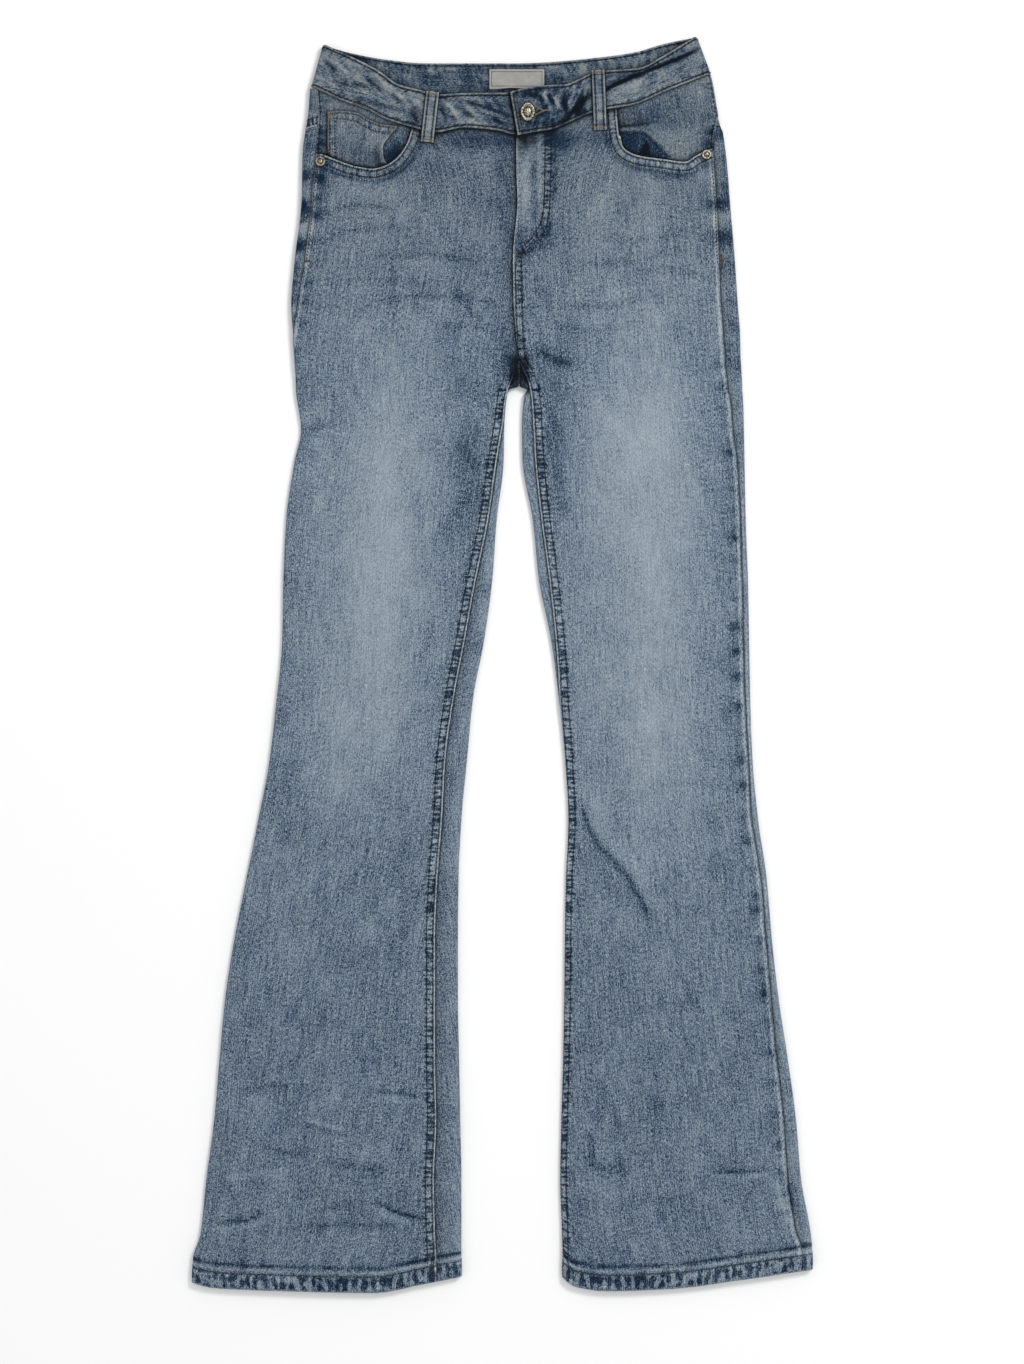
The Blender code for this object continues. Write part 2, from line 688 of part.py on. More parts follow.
def facing_surface(side, raised=0.0):
    def surface(y, p):
        points = side.place(y, p)
        points[..., 2] += raised - facing_offset(side, points[..., 0], y)
        return points

    return surface


def pocket_facing(side):
    end_x = side.mouth[-1].x + side.inward * FACING_UNDERLAP
    share = np.linspace(0, 1, FACING_COLUMNS)

    def between(y, share):
        start = side.outseam(y) + SEAM_GAP / 2
        return start + share * (side.girth_at(end_x, y) - start)

    def x_at(y, p):
        return side.place(y, p)[..., 0]

    def high_edge(x, p):
        return side.waist(x)

    def low_edge(x, p):
        reach = side.inward * (x - side.mouth[-1].x)
        step_back = np.clip(reach + FACING_CORNER_START, 0, FACING_CORNER_REACH)
        return mouth_height(side, x - side.inward * step_back) - FACING_UNDERLAP

    high = settled(high_edge, between, x_at, share, WAIST_GUESS) - SEAM_GAP
    low = settled(low_edge, between, x_at, share, MOUTH_GUESS)
    ys = high + (low - high) * np.linspace(0, 1, FACING_ROWS)[:, None]
    ps = np.array([between(y, share) for y in ys])
    outer, inner = layers(facing_surface(side), ys, ps, side.inward, 0 * ys, FACING_WALL)
    return add_sheet(f"pocket_facing_{side.name}", outer, inner, denim())


def coin_pocket():
    side = RIGHT
    xs = np.linspace(COIN_TOP[0].x, COIN_TOP[-1].x, COIN_COLUMNS)
    high = column(COIN_TOP, "y", xs, "x")
    low = mouth_height(side, xs) + COIN_FOOT_GAP
    y = high + (low - high) * np.linspace(0, 1, COIN_ROWS)[:, None]
    p = side.girth_at(np.broadcast_to(xs, y.shape), y)
    outer, inner = layers(
        facing_surface(side), y, p, side.inward, np.full_like(y, LAYER_GAP + COIN_WALL), COIN_WALL
    )
    return add_sheet("coin_pocket", outer, inner, denim())


def back_pocket(side):
    """A patch pocket with a pointed foot, flat on the surface below the seat."""
    centre = PATCH_CENTRES[side.name]
    share = np.linspace(-1, 1, PATCH_COLUMNS)
    point = PATCH_MIDDLE_HEIGHT - PATCH_SIDE_HEIGHT
    low = PATCH_TOP - PATCH_SIDE_HEIGHT - point * (1 - np.abs(share))
    outer, inner = [], []
    for step in np.linspace(0, 1, PATCH_ROWS):
        half = (PATCH_TOP_WIDTH + (PATCH_LOW_WIDTH - PATCH_TOP_WIDTH) * step) / 2
        y = PATCH_TOP + (low - PATCH_TOP) * step
        x = centre + share * half
        outer.append(np.stack([x, y, np.zeros_like(x)], axis=1))
        inner.append(np.stack([x, y, np.full_like(x, SEAT_LIFT - LAYER_GAP)], axis=1))
    return add_sheet(f"back_pocket_{side.name}", np.array(outer), np.array(inner), denim())


def band_front_height(x):
    """Height of the band's middle layer at the front."""
    side_left = x > float(LEFT.inner(BAND_HEIGHT))
    level = np.where(side_left, LEFT.top(x, BAND_HEIGHT), RIGHT.top(x, BAND_HEIGHT))
    return level + BAND_PROUD - BAND_WALL / 2


def band_lift(x):
    """The buttonhole end lies over the end with the button."""
    return (BAND_WALL + LAYER_GAP) * (1 - smoothstep(x, *OVERLAP_LIFT_ENDS))


def band_stretch(ribs, height, up):
    """Middle points and normals of one flat stretch of the band, as (ribs, rows, 3)."""
    share = np.linspace(0, 1, BAND_ROWS)[None, :]
    x = ribs[:, :1] + (ribs[:, 2:3] - ribs[:, :1]) * share
    y = ribs[:, 1:2] + (ribs[:, 3:4] - ribs[:, 1:2]) * share
    points = np.stack([x, y, height(x)], axis=-1)
    return points, np.broadcast_to([0.0, 0.0, up], points.shape)


def band_fold(rib, above, below, sign):
    """The band's turn from the front to the back at a side, about a lengthwise axis."""
    share = np.linspace(0, 1, BAND_ROWS)
    x = rib[0] + (rib[2] - rib[0]) * share
    y = rib[1] + (rib[3] - rib[1]) * share
    radius = (above - below) / 2
    points, normals = [], []
    for angle in np.radians(BAND_FOLD_ANGLES):
        outward = np.sin(angle)
        rise = np.cos(angle)
        z = below + radius + radius * rise
        points.append(np.stack([x + sign * radius * outward, y, z], axis=1))
        normals.append(np.broadcast_to([sign * outward, 0.0, rise], points[-1].shape))
    return np.array(points), np.array(normals)


def waistband():
    below = BAND_BACK_OUTER + BAND_WALL / 2
    left, left_up = band_stretch(band_ribs(BAND_LEFT), lambda x: band_front_height(x) + band_lift(x), 1.0)
    back, back_up = band_stretch(band_ribs(BAND_BACK), lambda x: np.full_like(x, below), -1.0)
    right, right_up = band_stretch(band_ribs(BAND_RIGHT[::-1]), band_front_height, 1.0)
    fold_left, fold_left_up = band_fold(BAND_LEFT[-1], left[-1, :, 2], below, 1)
    fold_right, fold_right_up = band_fold(BAND_RIGHT[-1], right[0, :, 2], below, -1)
    points = np.concatenate([left, fold_left, back, fold_right[::-1], right])
    normals = np.concatenate([left_up, fold_left_up, back_up, fold_right_up[::-1], right_up])
    half = normals * BAND_WALL / 2
    return add_sheet("waistband", points + half, points - half, denim())


def front_loop(loop):
    """A belt loop that lies over the band and is sewn to the panel below it."""
    side = RIGHT if loop.top_x < 0 else LEFT
    length = np.hypot(loop.top_x - loop.foot_x, loop.top_y - loop.foot_y)
    lean = np.array([loop.top_x - loop.foot_x, loop.top_y - loop.foot_y]) / length
    outer, inner = [], []
    for step in np.linspace(0, 1, LOOP_ROWS):
        middle = np.array([loop.top_x, loop.top_y]) - lean * length * step
        seam = float(side.waist(middle[0]))
        on_band = smoothstep(middle[1] - seam, *LOOP_STEP_ENDS)
        across = np.linspace(-LOOP_WIDTH / 2, LOOP_WIDTH / 2, LOOP_COLUMNS)
        x = middle[0] + across * lean[1]
        y = middle[1] - across * lean[0]
        base = side.top(x, y) + LAYER_GAP
        over_band = np.maximum(band_front_height(x) + BAND_WALL / 2 + LAYER_GAP, base)
        z = base + (over_band + LOOP_OVER_BAND - base) * on_band
        outer.append(np.stack([x, y, z + LOOP_WALL], axis=1))
        inner.append(np.stack([x, y, z], axis=1))
    return add_sheet(loop.name, np.array(outer), np.array(inner), denim())


def back_loop(loop):
    """A belt loop on the underside, flat on the surface."""
    across = np.array([-LOOP_WIDTH / 2, LOOP_WIDTH / 2])
    grid = []
    for step in np.linspace(0, 1, BACK_LOOP_ROWS):
        x = loop.top_x + (loop.foot_x - loop.top_x) * step + across
        y = loop.top_y + (loop.foot_y - loop.top_y) * step + 0 * across
        grid.append(np.stack([x, y, 0 * across], axis=1))
    grid = np.array(grid)
    return add_sheet(loop.name, grid, grid + [0, 0, BACK_LOOP_WALL], denim())


def turned(name, profile, centre, base, finish):
    """A round piece from its profile of radius and height, top middle to bottom edge."""
    bm = bmesh.new()
    angles = np.linspace(0, 2 * np.pi, ROUND_STEPS, endpoint=False)
    top = bm.verts.new(np.array([*centre, base + profile[0][1]]) * MM)
    foot = bm.verts.new(np.array([*centre, base]) * MM)
    rings = []
    for radius, height in profile[1:]:
        ring = [(centre[0] + radius * np.cos(a), centre[1] + radius * np.sin(a), base + height) for a in angles]
        rings.append([bm.verts.new(np.array(point) * MM) for point in ring])
    for k in range(ROUND_STEPS):
        n = (k + 1) % ROUND_STEPS
        bm.faces.new((top, rings[0][k], rings[0][n]))
        bm.faces.new((foot, rings[-1][n], rings[-1][k]))
        for high, low in zip(rings, rings[1:]):
            bm.faces.new((high[k], low[k], low[n], high[n]))
    return add_object(name, bm, finish)


def button():
    x = BUTTON_CENTRE[0]
    base = float(band_front_height(x) + band_lift(x)) + BAND_WALL / 2 + LAYER_GAP
    return turned("waist_button", BUTTON_PROFILE, BUTTON_CENTRE, base, material("button metal", METAL, 0.35, 1.0))


def rivet(side):
    centre = RIVET_CENTRES[side.name]
    reach = RIVET_PROFILE[-2][0]
    level = max(float(side.top(centre[0] + step, centre[1])) for step in (-reach, 0.0, reach))
    finish = material("rivet metal", METAL, 0.4, 1.0)
    return turned(f"rivet_{side.name}", RIVET_PROFILE, centre, level + LAYER_GAP, finish)


def label():
    """A bare woven label on the inside of the back of the band."""
    base = BAND_BACK_OUTER + BAND_WALL + LAYER_GAP
    x = LABEL_CENTRE[0] + np.linspace(-0.5, 0.5, LABEL_COLUMNS) * LABEL_SIZE[0]
    rows = []
    for step in (0.5, 0, -0.5):
        y = np.full_like(x, LABEL_CENTRE[1] + step * LABEL_SIZE[1])
        rows.append(np.stack([x, y, np.full_like(x, base)], axis=1))
    rows = np.array(rows)
    return add_sheet("inner_label", rows + [0, 0, LABEL_WALL], rows, material("label cloth", LABEL_CLOTH, 0.8))


def build():
    for old in list(bpy.data.objects):
        bpy.data.objects.remove(old)
    for side in SIDES:
        front_panel(side)
        back_panel(side)
        yoke(side)
        pocket_facing(side)
        back_pocket(side)
        rivet(side)
    waistband()
    coin_pocket()
    for loop in FRONT_LOOPS:
        front_loop(loop)
    for loop in BACK_LOOPS:
        back_loop(loop)
    button()
    label()


build()
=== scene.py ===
"""Looks of the flared jeans laid out flat on their back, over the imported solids.

Lengths in the tables are millimetres, and meshes are made in metres. Each leg, with its half of the hips,
is a flattened tube, as in the solids: a place on it is a height y and a girth p, the distance along the
cloth from the side fold, positive over the top and negative round the underside. The wearer's right leg
lies at -X. Creases, puckers and shades of the wash are placed in the same frame.
"""

from collections import namedtuple

import bmesh
import bpy
import numpy as np
from mathutils import Matrix, Vector
from mathutils.bvhtree import BVHTree


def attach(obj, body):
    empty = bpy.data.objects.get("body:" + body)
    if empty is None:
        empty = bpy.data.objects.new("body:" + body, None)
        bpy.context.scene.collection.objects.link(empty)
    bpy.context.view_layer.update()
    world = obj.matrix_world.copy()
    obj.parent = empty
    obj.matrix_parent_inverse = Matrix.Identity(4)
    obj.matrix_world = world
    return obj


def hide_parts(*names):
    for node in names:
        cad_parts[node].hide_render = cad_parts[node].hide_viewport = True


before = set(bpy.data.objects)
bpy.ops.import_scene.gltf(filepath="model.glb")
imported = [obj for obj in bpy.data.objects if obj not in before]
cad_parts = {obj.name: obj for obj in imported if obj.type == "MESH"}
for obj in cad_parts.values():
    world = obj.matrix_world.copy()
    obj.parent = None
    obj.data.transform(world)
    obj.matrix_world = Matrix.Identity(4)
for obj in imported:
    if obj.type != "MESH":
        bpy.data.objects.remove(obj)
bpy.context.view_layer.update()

MM = 0.001
UP, DOWN = np.array([0.0, 0.0, 1.0]), np.array([0.0, 0.0, -1.0])
rng = np.random.default_rng(7)


def table(columns, *rows):
    """Rows with the named columns given."""
    return tuple(columns(*row) for row in rows)


# Cloth
WALL = 1.1
HEM_WALL = 2.1
HEM_PROUD = (HEM_WALL - WALL) / 2
HEM_DEPTH = 17.0
HEM_STITCH = 14.4
BAND_WALL = 2.0
LOOP_WALL = 1.4
SEAM_GAP = 0.3
SLANTED_GAP = 0.5
LAYER_GAP = 0.3

# Heights above the surface that the jeans lie on
SEAT_LIFT = 1.4
SEAT_LIFT_ENDS = (275.0, 205.0)
HEM_LIFT_ENDS = (-500.0, -529.0)
BAND_BACK_OUTER = 1.5
BAND_PROUD = 0.4
Height = namedtuple("Height", "y edge loft")
HEIGHTS = table(
    Height,
    (560, 5.2, 0.8), (450, 5, 0.9), (380, 4.7, 1.2), (260, 4.4, 1.4), (200, 4.4, 1.6),
    (-480, 4.4, 1.6), (-525, 5.4, 0.8), (-560, 5.4, 0.8),
)

# A side's sections: the side fold, the girth of the outer seam from it, the inner edge and the inner seam
Section = namedtuple("Section", "y side outseam inner inseam")
RIGHT_SECTIONS = table(
    Section,
    (545, -160, 7, 13, 13), (512, -168, 7, 13, 13), (484, -170, 10, 13, 13), (449, -175, 13, 12, 12),
    (407, -176, 10, 13, 13), (354, -182, 10, 9, 9), (316, -185, 7, 10, 10), (289, -183.5, 1, 12, 12),
    (268, -182.5, -3, 14, 14), (261, -182, -4, 14.4, 12), (244, -181, -6, 14.2, 6),
    (241, -181, -6.5, 6, 4.5), (236, -180.5, -7, 4, 3), (206, -176.5, -8, 1.5, -0.5),
    (179, -182, -8, 1, -5), (127, -189.5, -8, -5, -12.5), (74, -192, -8, -9, -23.5),
    (22, -193, -8, -16, -33), (-31, -198, -8, -26, -43), (-83, -204, -8, -31, -50),
    (-136, -214, -8, -36, -53), (-188, -224.5, -8, -38.5, -57), (-241, -235, -8, -39, -59),
    (-293, -243, -8, -39, -59), (-346, -248, -8, -38, -59), (-398, -252.5, -8, -37, -58),
    (-451, -259.5, -8, -36, -60), (-503, -265, -8, -36, -59), (-525, -271, -8, -36, -58),
    (-560, -272, -8, -36, -58),
)
LEFT_SECTIONS = table(
    Section,
    (545, 172, 2, 13, 13), (512, 184, 2, 13, 13), (484, 189, 2, 13, 13), (463, 193.5, 10, 12, 12),
    (434, 197, 13, 12, 12), (407, 199, 13, 13, 13), (354, 203.5, 15, 9, 9), (316, 206, 16, 10, 10),
    (289, 208, 16, 12, 12), (268, 208.5, 15, 14, 14), (261, 209, 15, 14.6, 17),
    (244, 210, 14, 14.8, 23.5), (241, 210, 14, 21.5, 24), (236, 210.5, 13, 19, 25),
    (206, 211.5, 11, 17, 27), (179, 212, 8, 17.5, 28.5), (127, 213, 6, 26.5, 34),
    (74, 215, 6.5, 32, 41), (22, 216, 6.5, 42.5, 46.5), (-31, 217, 6, 49.5, 50.5),
    (-83, 219, 5, 55, 55), (-136, 224, 7, 58, 57.5), (-188, 231.5, 6.5, 56, 55),
    (-241, 236, 6.5, 55, 54), (-293, 242, 8, 54.5, 53.5), (-346, 250, 11, 53.5, 52.5),
    (-398, 257, 12, 52, 51), (-451, 261.5, 13, 51, 50), (-503, 269, 14, 52.5, 51.5),
    (-525, 271, 11, 53, 52), (-560, 271.5, 10, 53, 52),
)

# Where the hem edges and the pocket mouths run
HEM_LINE = -547.0
HEM_BLEND = 110.0
Edge = namedtuple("Edge", "x y")
RIGHT_HEM = table(
    Edge,
    (-271, -541), (-255, -545), (-206, -547.5), (-112, -549.5), (-70, -542), (-36, -535.5),
)
LEFT_HEM = table(
    Edge,
    (51, -535), (63, -544), (92, -548), (147, -546), (210, -538), (273, -529),
)

# Pocket mouths, from the outer seam to the waist seam, and the lower edge of the facing behind each
RIGHT_MOUTH = table(
    Edge,
    (-160, 447.5), (-128, 436), (-114, 434), (-101, 437.5), (-91, 445), (-82.5, 458.5), (-79, 470),
)
LEFT_MOUTH = table(
    Edge,
    (183, 452), (170, 446), (159, 440), (143, 442), (117, 446), (105.5, 453), (101.5, 465),
    (99.5, 487),
)
FACING_UNDERLAP = 10.0
FACING_DIP = 1.5
FACING_LEDGE = 6.0
FACING_RISE = 18.0
FACING_WALL = 1.0
FACING_CORNER_START, FACING_CORNER_REACH = 25.0, 12.0
FACING_COLUMNS, FACING_ROWS = 76, 46

# Waistband: ribs across it, each from its lower edge to its upper edge
Rib = namedtuple("Rib", "low_x low_y high_x high_y")
BAND_RIGHT = table(
    Rib,
    (35, 467, 30, 503), (13, 464, 7, 501), (-7, 468, -2, 500.5), (-34, 470, -28, 500.5),
    (-58, 466, -56, 499), (-81, 471, -72, 503), (-101, 477, -91, 508), (-121, 487, -110, 521),
    (-141, 494, -134, 533), (-165, 505, -154.5, 542.5),
)
BAND_LEFT = table(
    Rib,
    (13, 463, 6.5, 501), (27.5, 466, 24, 505), (41.5, 468, 41.5, 507), (53, 472.5, 55.5, 508),
    (77.5, 483, 79, 518), (90.5, 486, 90.5, 520), (114, 490, 118.5, 522), (143, 502, 141, 533),
    (180, 516.5, 167.5, 549.5),
)
BAND_BACK = table(
    Rib,
    (180, 516.5, 167.5, 549.5), (148, 508, 141, 544), (120, 501, 117, 537), (85, 496, 83, 532),
    (13, 489, 13, 527), (-63, 490, -65, 527), (-98, 493.5, -100, 530), (-138, 500, -137, 537),
    (-165, 505, -154.5, 542.5),
)
OVERLAP_LIFT_ENDS = (38.0, 54.0)

# Yoke seam, seat, fly
YOKE_SIDES = {"right": 484.0, "left": 494.0}
YOKE_MIDDLE = 430.0
YOKE_BEND = (-0.5, 1.1)
CENTRE_BACK = 13.0
SEAT_BLEND = (335.0, 268.0)
CROTCH_RISE = (284.0, 268.0)
FLY_UNDERLAP = 7.0
FLY_END = 350.0
FLY_LIFT = WALL + LAYER_GAP
FLY_LIFT_FLAT, FLY_LIFT_REACH = FLY_UNDERLAP + 6, FLY_UNDERLAP + 24
FLY_LIFT_ENDS = (FLY_END - 25, FLY_END - 1)
CLEAR_OF_FOLD = 20.0

# Grids: how close the points of the cloth lie
TORSO_TOP = 400.0
CROTCH_ROWS = (245.2, 244.4, 243.6, 242.4, 241.0, 238.4, 236.0)
FRONT_ROWS, FRONT_ROWS_ABOVE, FRONT_COLUMNS = 330, 34, 84
BACK_ROWS, BACK_ROWS_ABOVE, BACK_COLUMNS = 230, 16, 64
MOUTH_COLUMNS = 44
CLOSEST = 0.8
FOLD_STEP = 0.9
FOLD_COLUMNS, INNER_COLUMNS = 9, 7
NORMAL_STEP = 0.05
RIB_STEPS = 26
BAND_ROWS = 27
BAND_FOLD_ANGLES = tuple(range(12, 180, 12))

# Heights at which lines that run at a slant are first looked up
WAIST_END_HEIGHT = 465.0
BAND_HEIGHT = 480.0
WAIST_GUESS = 490.0
MOUTH_GUESS = 440.0
SETTLING_ROUNDS = 6

# The two rows of stitches beside the fly
FLY_OUTER = ((42.6, 467), (42.4, 440), (41.4, 404), (39.2, 386), (33, 371), (24, 361.5), (14.5, 356.5))
FLY_INNER = ((37.4, 467), (37.2, 440), (36.4, 405), (34, 390), (28.6, 378), (21.5, 369.5), (14.5, 364.5))

# Small pieces
COIN_TOP = table(
    Edge,
    (-153, 484), (-143, 484.7), (-127, 483), (-119, 478), (-106, 473), (-92, 471),
)
# Its right edge: x at shares of its height, from its top
COIN_RIGHT = table(
    Edge, (-92, 0), (-94.5, 0.12), (-100, 0.32), (-104.5, 0.55), (-104, 0.8), (-101, 1)
)
COIN_WALL = 0.9
COIN_FOOT_GAP = 1.0
COIN_COLUMNS, COIN_ROWS = 46, 44
PATCH_TOP_WIDTH, PATCH_LOW_WIDTH = 138.0, 116.0
PATCH_SIDE_HEIGHT, PATCH_MIDDLE_HEIGHT = 126.0, 144.0
PATCH_TOP = 424.0
PATCH_COLUMNS, PATCH_ROWS = 72, 76
PATCH_WALL = 0.9
PATCH_CENTRES = {"right": -82.0, "left": 108.0}
LOOP_WIDTH = 11.0
LOOP_STEP_ENDS = (-5.0, -0.5)
LOOP_OVER_BAND = 0.1
LOOP_ROWS, LOOP_COLUMNS = 52, 15
LOOP_LEVEL = 0.325
Loop = namedtuple("Loop", "name top_x top_y foot_x foot_y")
FRONT_LOOPS = table(
    Loop,
    ("belt_loop_front_right", -61, 501, -66, 457.5), ("belt_loop_front_left", 83.5, 520, 85.5, 468),
)
BACK_LOOPS = table(
    Loop,
    ("belt_loop_back_right", -106, 529.5, -104, 479), ("belt_loop_centre", 13, 526, 13, 475),
    ("belt_loop_back_left", 118, 535.5, 120, 486),
)
BACK_LOOP_WALL = 1.1
BUTTON_CENTRE = (22.0, 483.2)
# It leans in its hole, so that it is seen narrower than it is tall
BUTTON_WIDTH = 0.77
RIVET_CENTRES = {"right": (-159.5, 440.5), "left": (178.5, 446.5)}
LABEL_CENTRE = (12.5, 513.0)
LABEL_SIZE = (48.0, 17.0)
LABEL_WALL = 0.8
LABEL_COLUMNS, LABEL_ROWS = 60, 24
ROUND_STEPS = 56
# Profiles of radius and height, from the top middle to the foot middle
BUTTON_PROFILE = (
    (0.001, 2.75), (1.2, 2.72), (2.2, 2.6), (3.0, 2.42), (3.5, 2.2), (3.8, 1.95), (4.3, 1.88), (4.8, 1.95),
    (5.2, 2.15), (5.7, 2.55), (6.3, 2.82), (6.9, 2.88), (7.5, 2.78), (8.0, 2.5), (8.35, 2.1), (8.5, 1.6),
    (8.45, 1.0), (8.2, 0.5), (7.7, 0.1), (6.5, 0.0), (0.001, 0.0),
)
RIVET_PROFILE = (
    (0.001, 1.28), (0.6, 1.26), (1.1, 1.16), (1.5, 0.95), (1.8, 0.78), (2.2, 0.74), (2.6, 0.82), (3.0, 1.0),
    (3.4, 1.1), (3.8, 1.04), (4.15, 0.84), (4.35, 0.5), (4.4, 0.2), (4.2, 0.02), (3.6, 0.0), (0.001, 0.0),
)
RIVET_REACH = 4.3
# Their darkest and palest colours, and the hollow rings that are painted darker as dark reflections and
# shade: distance from the middle and reach
BUTTON_TONES, BUTTON_HOLLOWS = ((0.02, 0.016, 0.012), (0.62, 0.57, 0.46)), ((4.4, 1.3), (8.6, 1.5))
RIVET_TONES, RIVET_HOLLOWS = ((0.05, 0.04, 0.03), (0.60, 0.55, 0.46)), ((2.2, 0.9), (4.5, 0.8))
BAND_STITCH = 2.4
BAND_LEVEL, BAND_INSIDE_TINT = 0.262, -0.108

# Sewing
STITCH_ROWS = (1.9, 7.6)
STITCH_PITCH, TACK_PITCH = 3.0, 0.75
FULL_TURN = 6.2832
ROW_CHUNK = 16
THREAD_RISE = 0.12
STITCH_LENGTH, STITCH_THICK, TACK_THICK = 2.3, 0.95, 0.9
# Stitches are dropped on the cloth from this far above it, in metres
DROP = 0.1
BUTTONHOLE = ((28.0, 489.0), (35.6, 484.3), (28.4, 480.6))
BUTTONHOLE_END = (41.3, 485.2)
Tack = namedtuple("Tack", "piece x0 y0 x1 y1")
FRONT_TACKS = table(
    Tack,
    ("front_left_denim", 11.5, 358.5, 17, 357.5), ("front_right_denim", -173, 353.5, -168.5, 353.5),
    ("back_left_denim", 191.6, 358.5, 192.4, 347), ("front_right_denim", -156, 449, -156.5, 444),
)

# Creases: soft ridges, or troughs where the height is negative, from one end to the other.
# The bow is how far the middle lies to the left of the straight line. Their shade is painted into the wash:
# painted shade along a trough where it is negative, a painted highlight along a lip where it is positive.
Crease = namedtuple("Crease", "x0 y0 x1 y1 bow width height shade")
# A patch is a soft spot of the wash that is paler, or darker where its level is negative.
Patch = namedtuple("Patch", "x y across along level")
LEG_CREASES = table(
    Crease,
    # the fold below the left knee: a valley under a lip of cloth
    (68, -118, 104, -180, -6, 2.2, -1, -0.24), (98, -170, 130, -226, 2, 2.6, -1, -0.24),
    (76, -112, 112, -174, -6, 6.5, 1.4, 0.07), (106, -164, 142, -226, 2, 7.5, 1.3, 0.07),
    (62, -150, 98, -196, 0, 9, 0.6, 0),
    # small creases above the hems
    (-69, -379, -122, -373, -2, 1.6, -0.5, -0.1), (-69, -383, -116, -379, -2, 2.4, 0.4, 0.04),
    (-67, -484, -112, -468, 3, 1.8, -0.6, -0.12), (-72, -489, -116, -474, 3, 2.6, 0.5, 0.05),
    (-252, -488, -206, -479, -3, 1.8, -0.6, -0.11), (-252, -493, -206, -485, -3, 2.6, 0.5, 0.05),
    (-178, -491, -84, -491, 1, 2.4, -0.5, -0.07), (-176, -397, -138, -407, 0, 2, 0.5, 0.06),
    (-174, -402, -140, -411, 0, 2, -0.4, -0.06), (-172, -482, -120, -470, 2, 2.4, -0.4, -0.05),
    (-232, -374, -172, -368, 2, 3, -0.4, -0.05), (-160, -432, -98, -441, -2, 3, -0.4, -0.05),
    (-246, -452, -196, -446, 2, 3, 0.5, 0.04), (-132, -345, -82, -352, 2, 3.4, -0.4, -0.05),
    (-214, -420, -170, -428, -2, 2.6, -0.4, -0.06), (74, -435, 98, -442, -2, 1.6, -0.5, -0.1),
    (76, -406, 78, -439, 1, 2, -0.5, -0.09), (181, -442, 238, -440, -2, 1.6, -0.5, -0.1),
    (181, -447, 236, -445, -2, 2.6, 0.4, 0.04), (237, -449, 250, -492, 1, 3, 0.7, 0.1),
    (246, -448, 259, -490, 1, 3, -0.6, -0.1), (224, -262, 240, -356, 2, 4.5, -0.6, -0.09),
    (232, -262, 247, -352, 2, 4, 0.4, 0.04), (96, -382, 104, -452, 1, 4, -0.3, -0.04),
    (120, -470, 168, -466, 2, 2.6, -0.4, -0.05), (128, -330, 136, -400, 1, 6, -0.4, -0.03),
    # beside the knees and thighs
    (-178, 205, -146, 211, 0, 3.6, -1.2, -0.1), (-176, 196, -150, 188, 0, 5, 0.7, 0.04),
    (-178, 214, -150, 226, 0, 5, 0.6, 0.04), (-42, 196, -22, 168, 2, 4.5, -0.5, -0.1),
    (-60, 108, -30, 150, -2, 5, -0.5, -0.1), (-78, -2, -58, 40, -1, 5, -0.5, -0.08),
    (-90, -62, -70, -30, 0, 5, -0.4, -0.06), (48, 176, 60, 128, -2, 6, -0.5, -0.08),
    (36, 232, 50, 200, 0, 5, -0.4, -0.08),
    # the curve at the left leg's own fold, and the long soft hollows down the legs
    (-92, -140, -96, -300, 4, 9, -0.5, -0.02), (150, 40, 160, -110, 4, 12, 0.5, 0.02),
    (-158, 120, -172, -60, -4, 12, 0.5, 0),
)
HIP_CREASES = table(
    Crease,
    (-166, 392, -96, 398, 6, 3, -0.5, -0.07), (-158, 372, -84, 380, 6, 3.4, -0.5, -0.06),
    (-120, 356, -20, 352, 5, 3, -0.5, -0.07), (-150, 332, -60, 330, 5, 4, -0.5, -0.05),
    (-110, 318, -12, 318, 5, 3, -0.6, -0.08), (-60, 296, -6, 291, 3, 3, -0.4, -0.07),
    (-40, 334, -16, 300, -5, 4, -0.5, -0.08), (-60, 430, -12, 446, 3, 5, 0.7, 0),
    (52, 316, 130, 324, -6, 3.4, -0.6, -0.08), (40, 300, 108, 296, -5, 3, -0.4, -0.05),
    (60, 352, 150, 362, -5, 3.4, -0.5, -0.05), (86, 372, 176, 384, -5, 3.4, -0.5, -0.05),
    (110, 344, 186, 336, 5, 3.4, -0.4, -0.05), (30, 276, 66, 262, -3, 4, -0.5, -0.12),
    (32, 392, 66, 410, 3, 5, 0.5, 0.02), (128, 428, 172, 424, 0, 3, -0.6, -0.07),
    (-96, 424, -70, 440, -3, 4, 0.5, 0), (-140, 424, -100, 426, -3, 2.6, 0.5, 0.05),
)
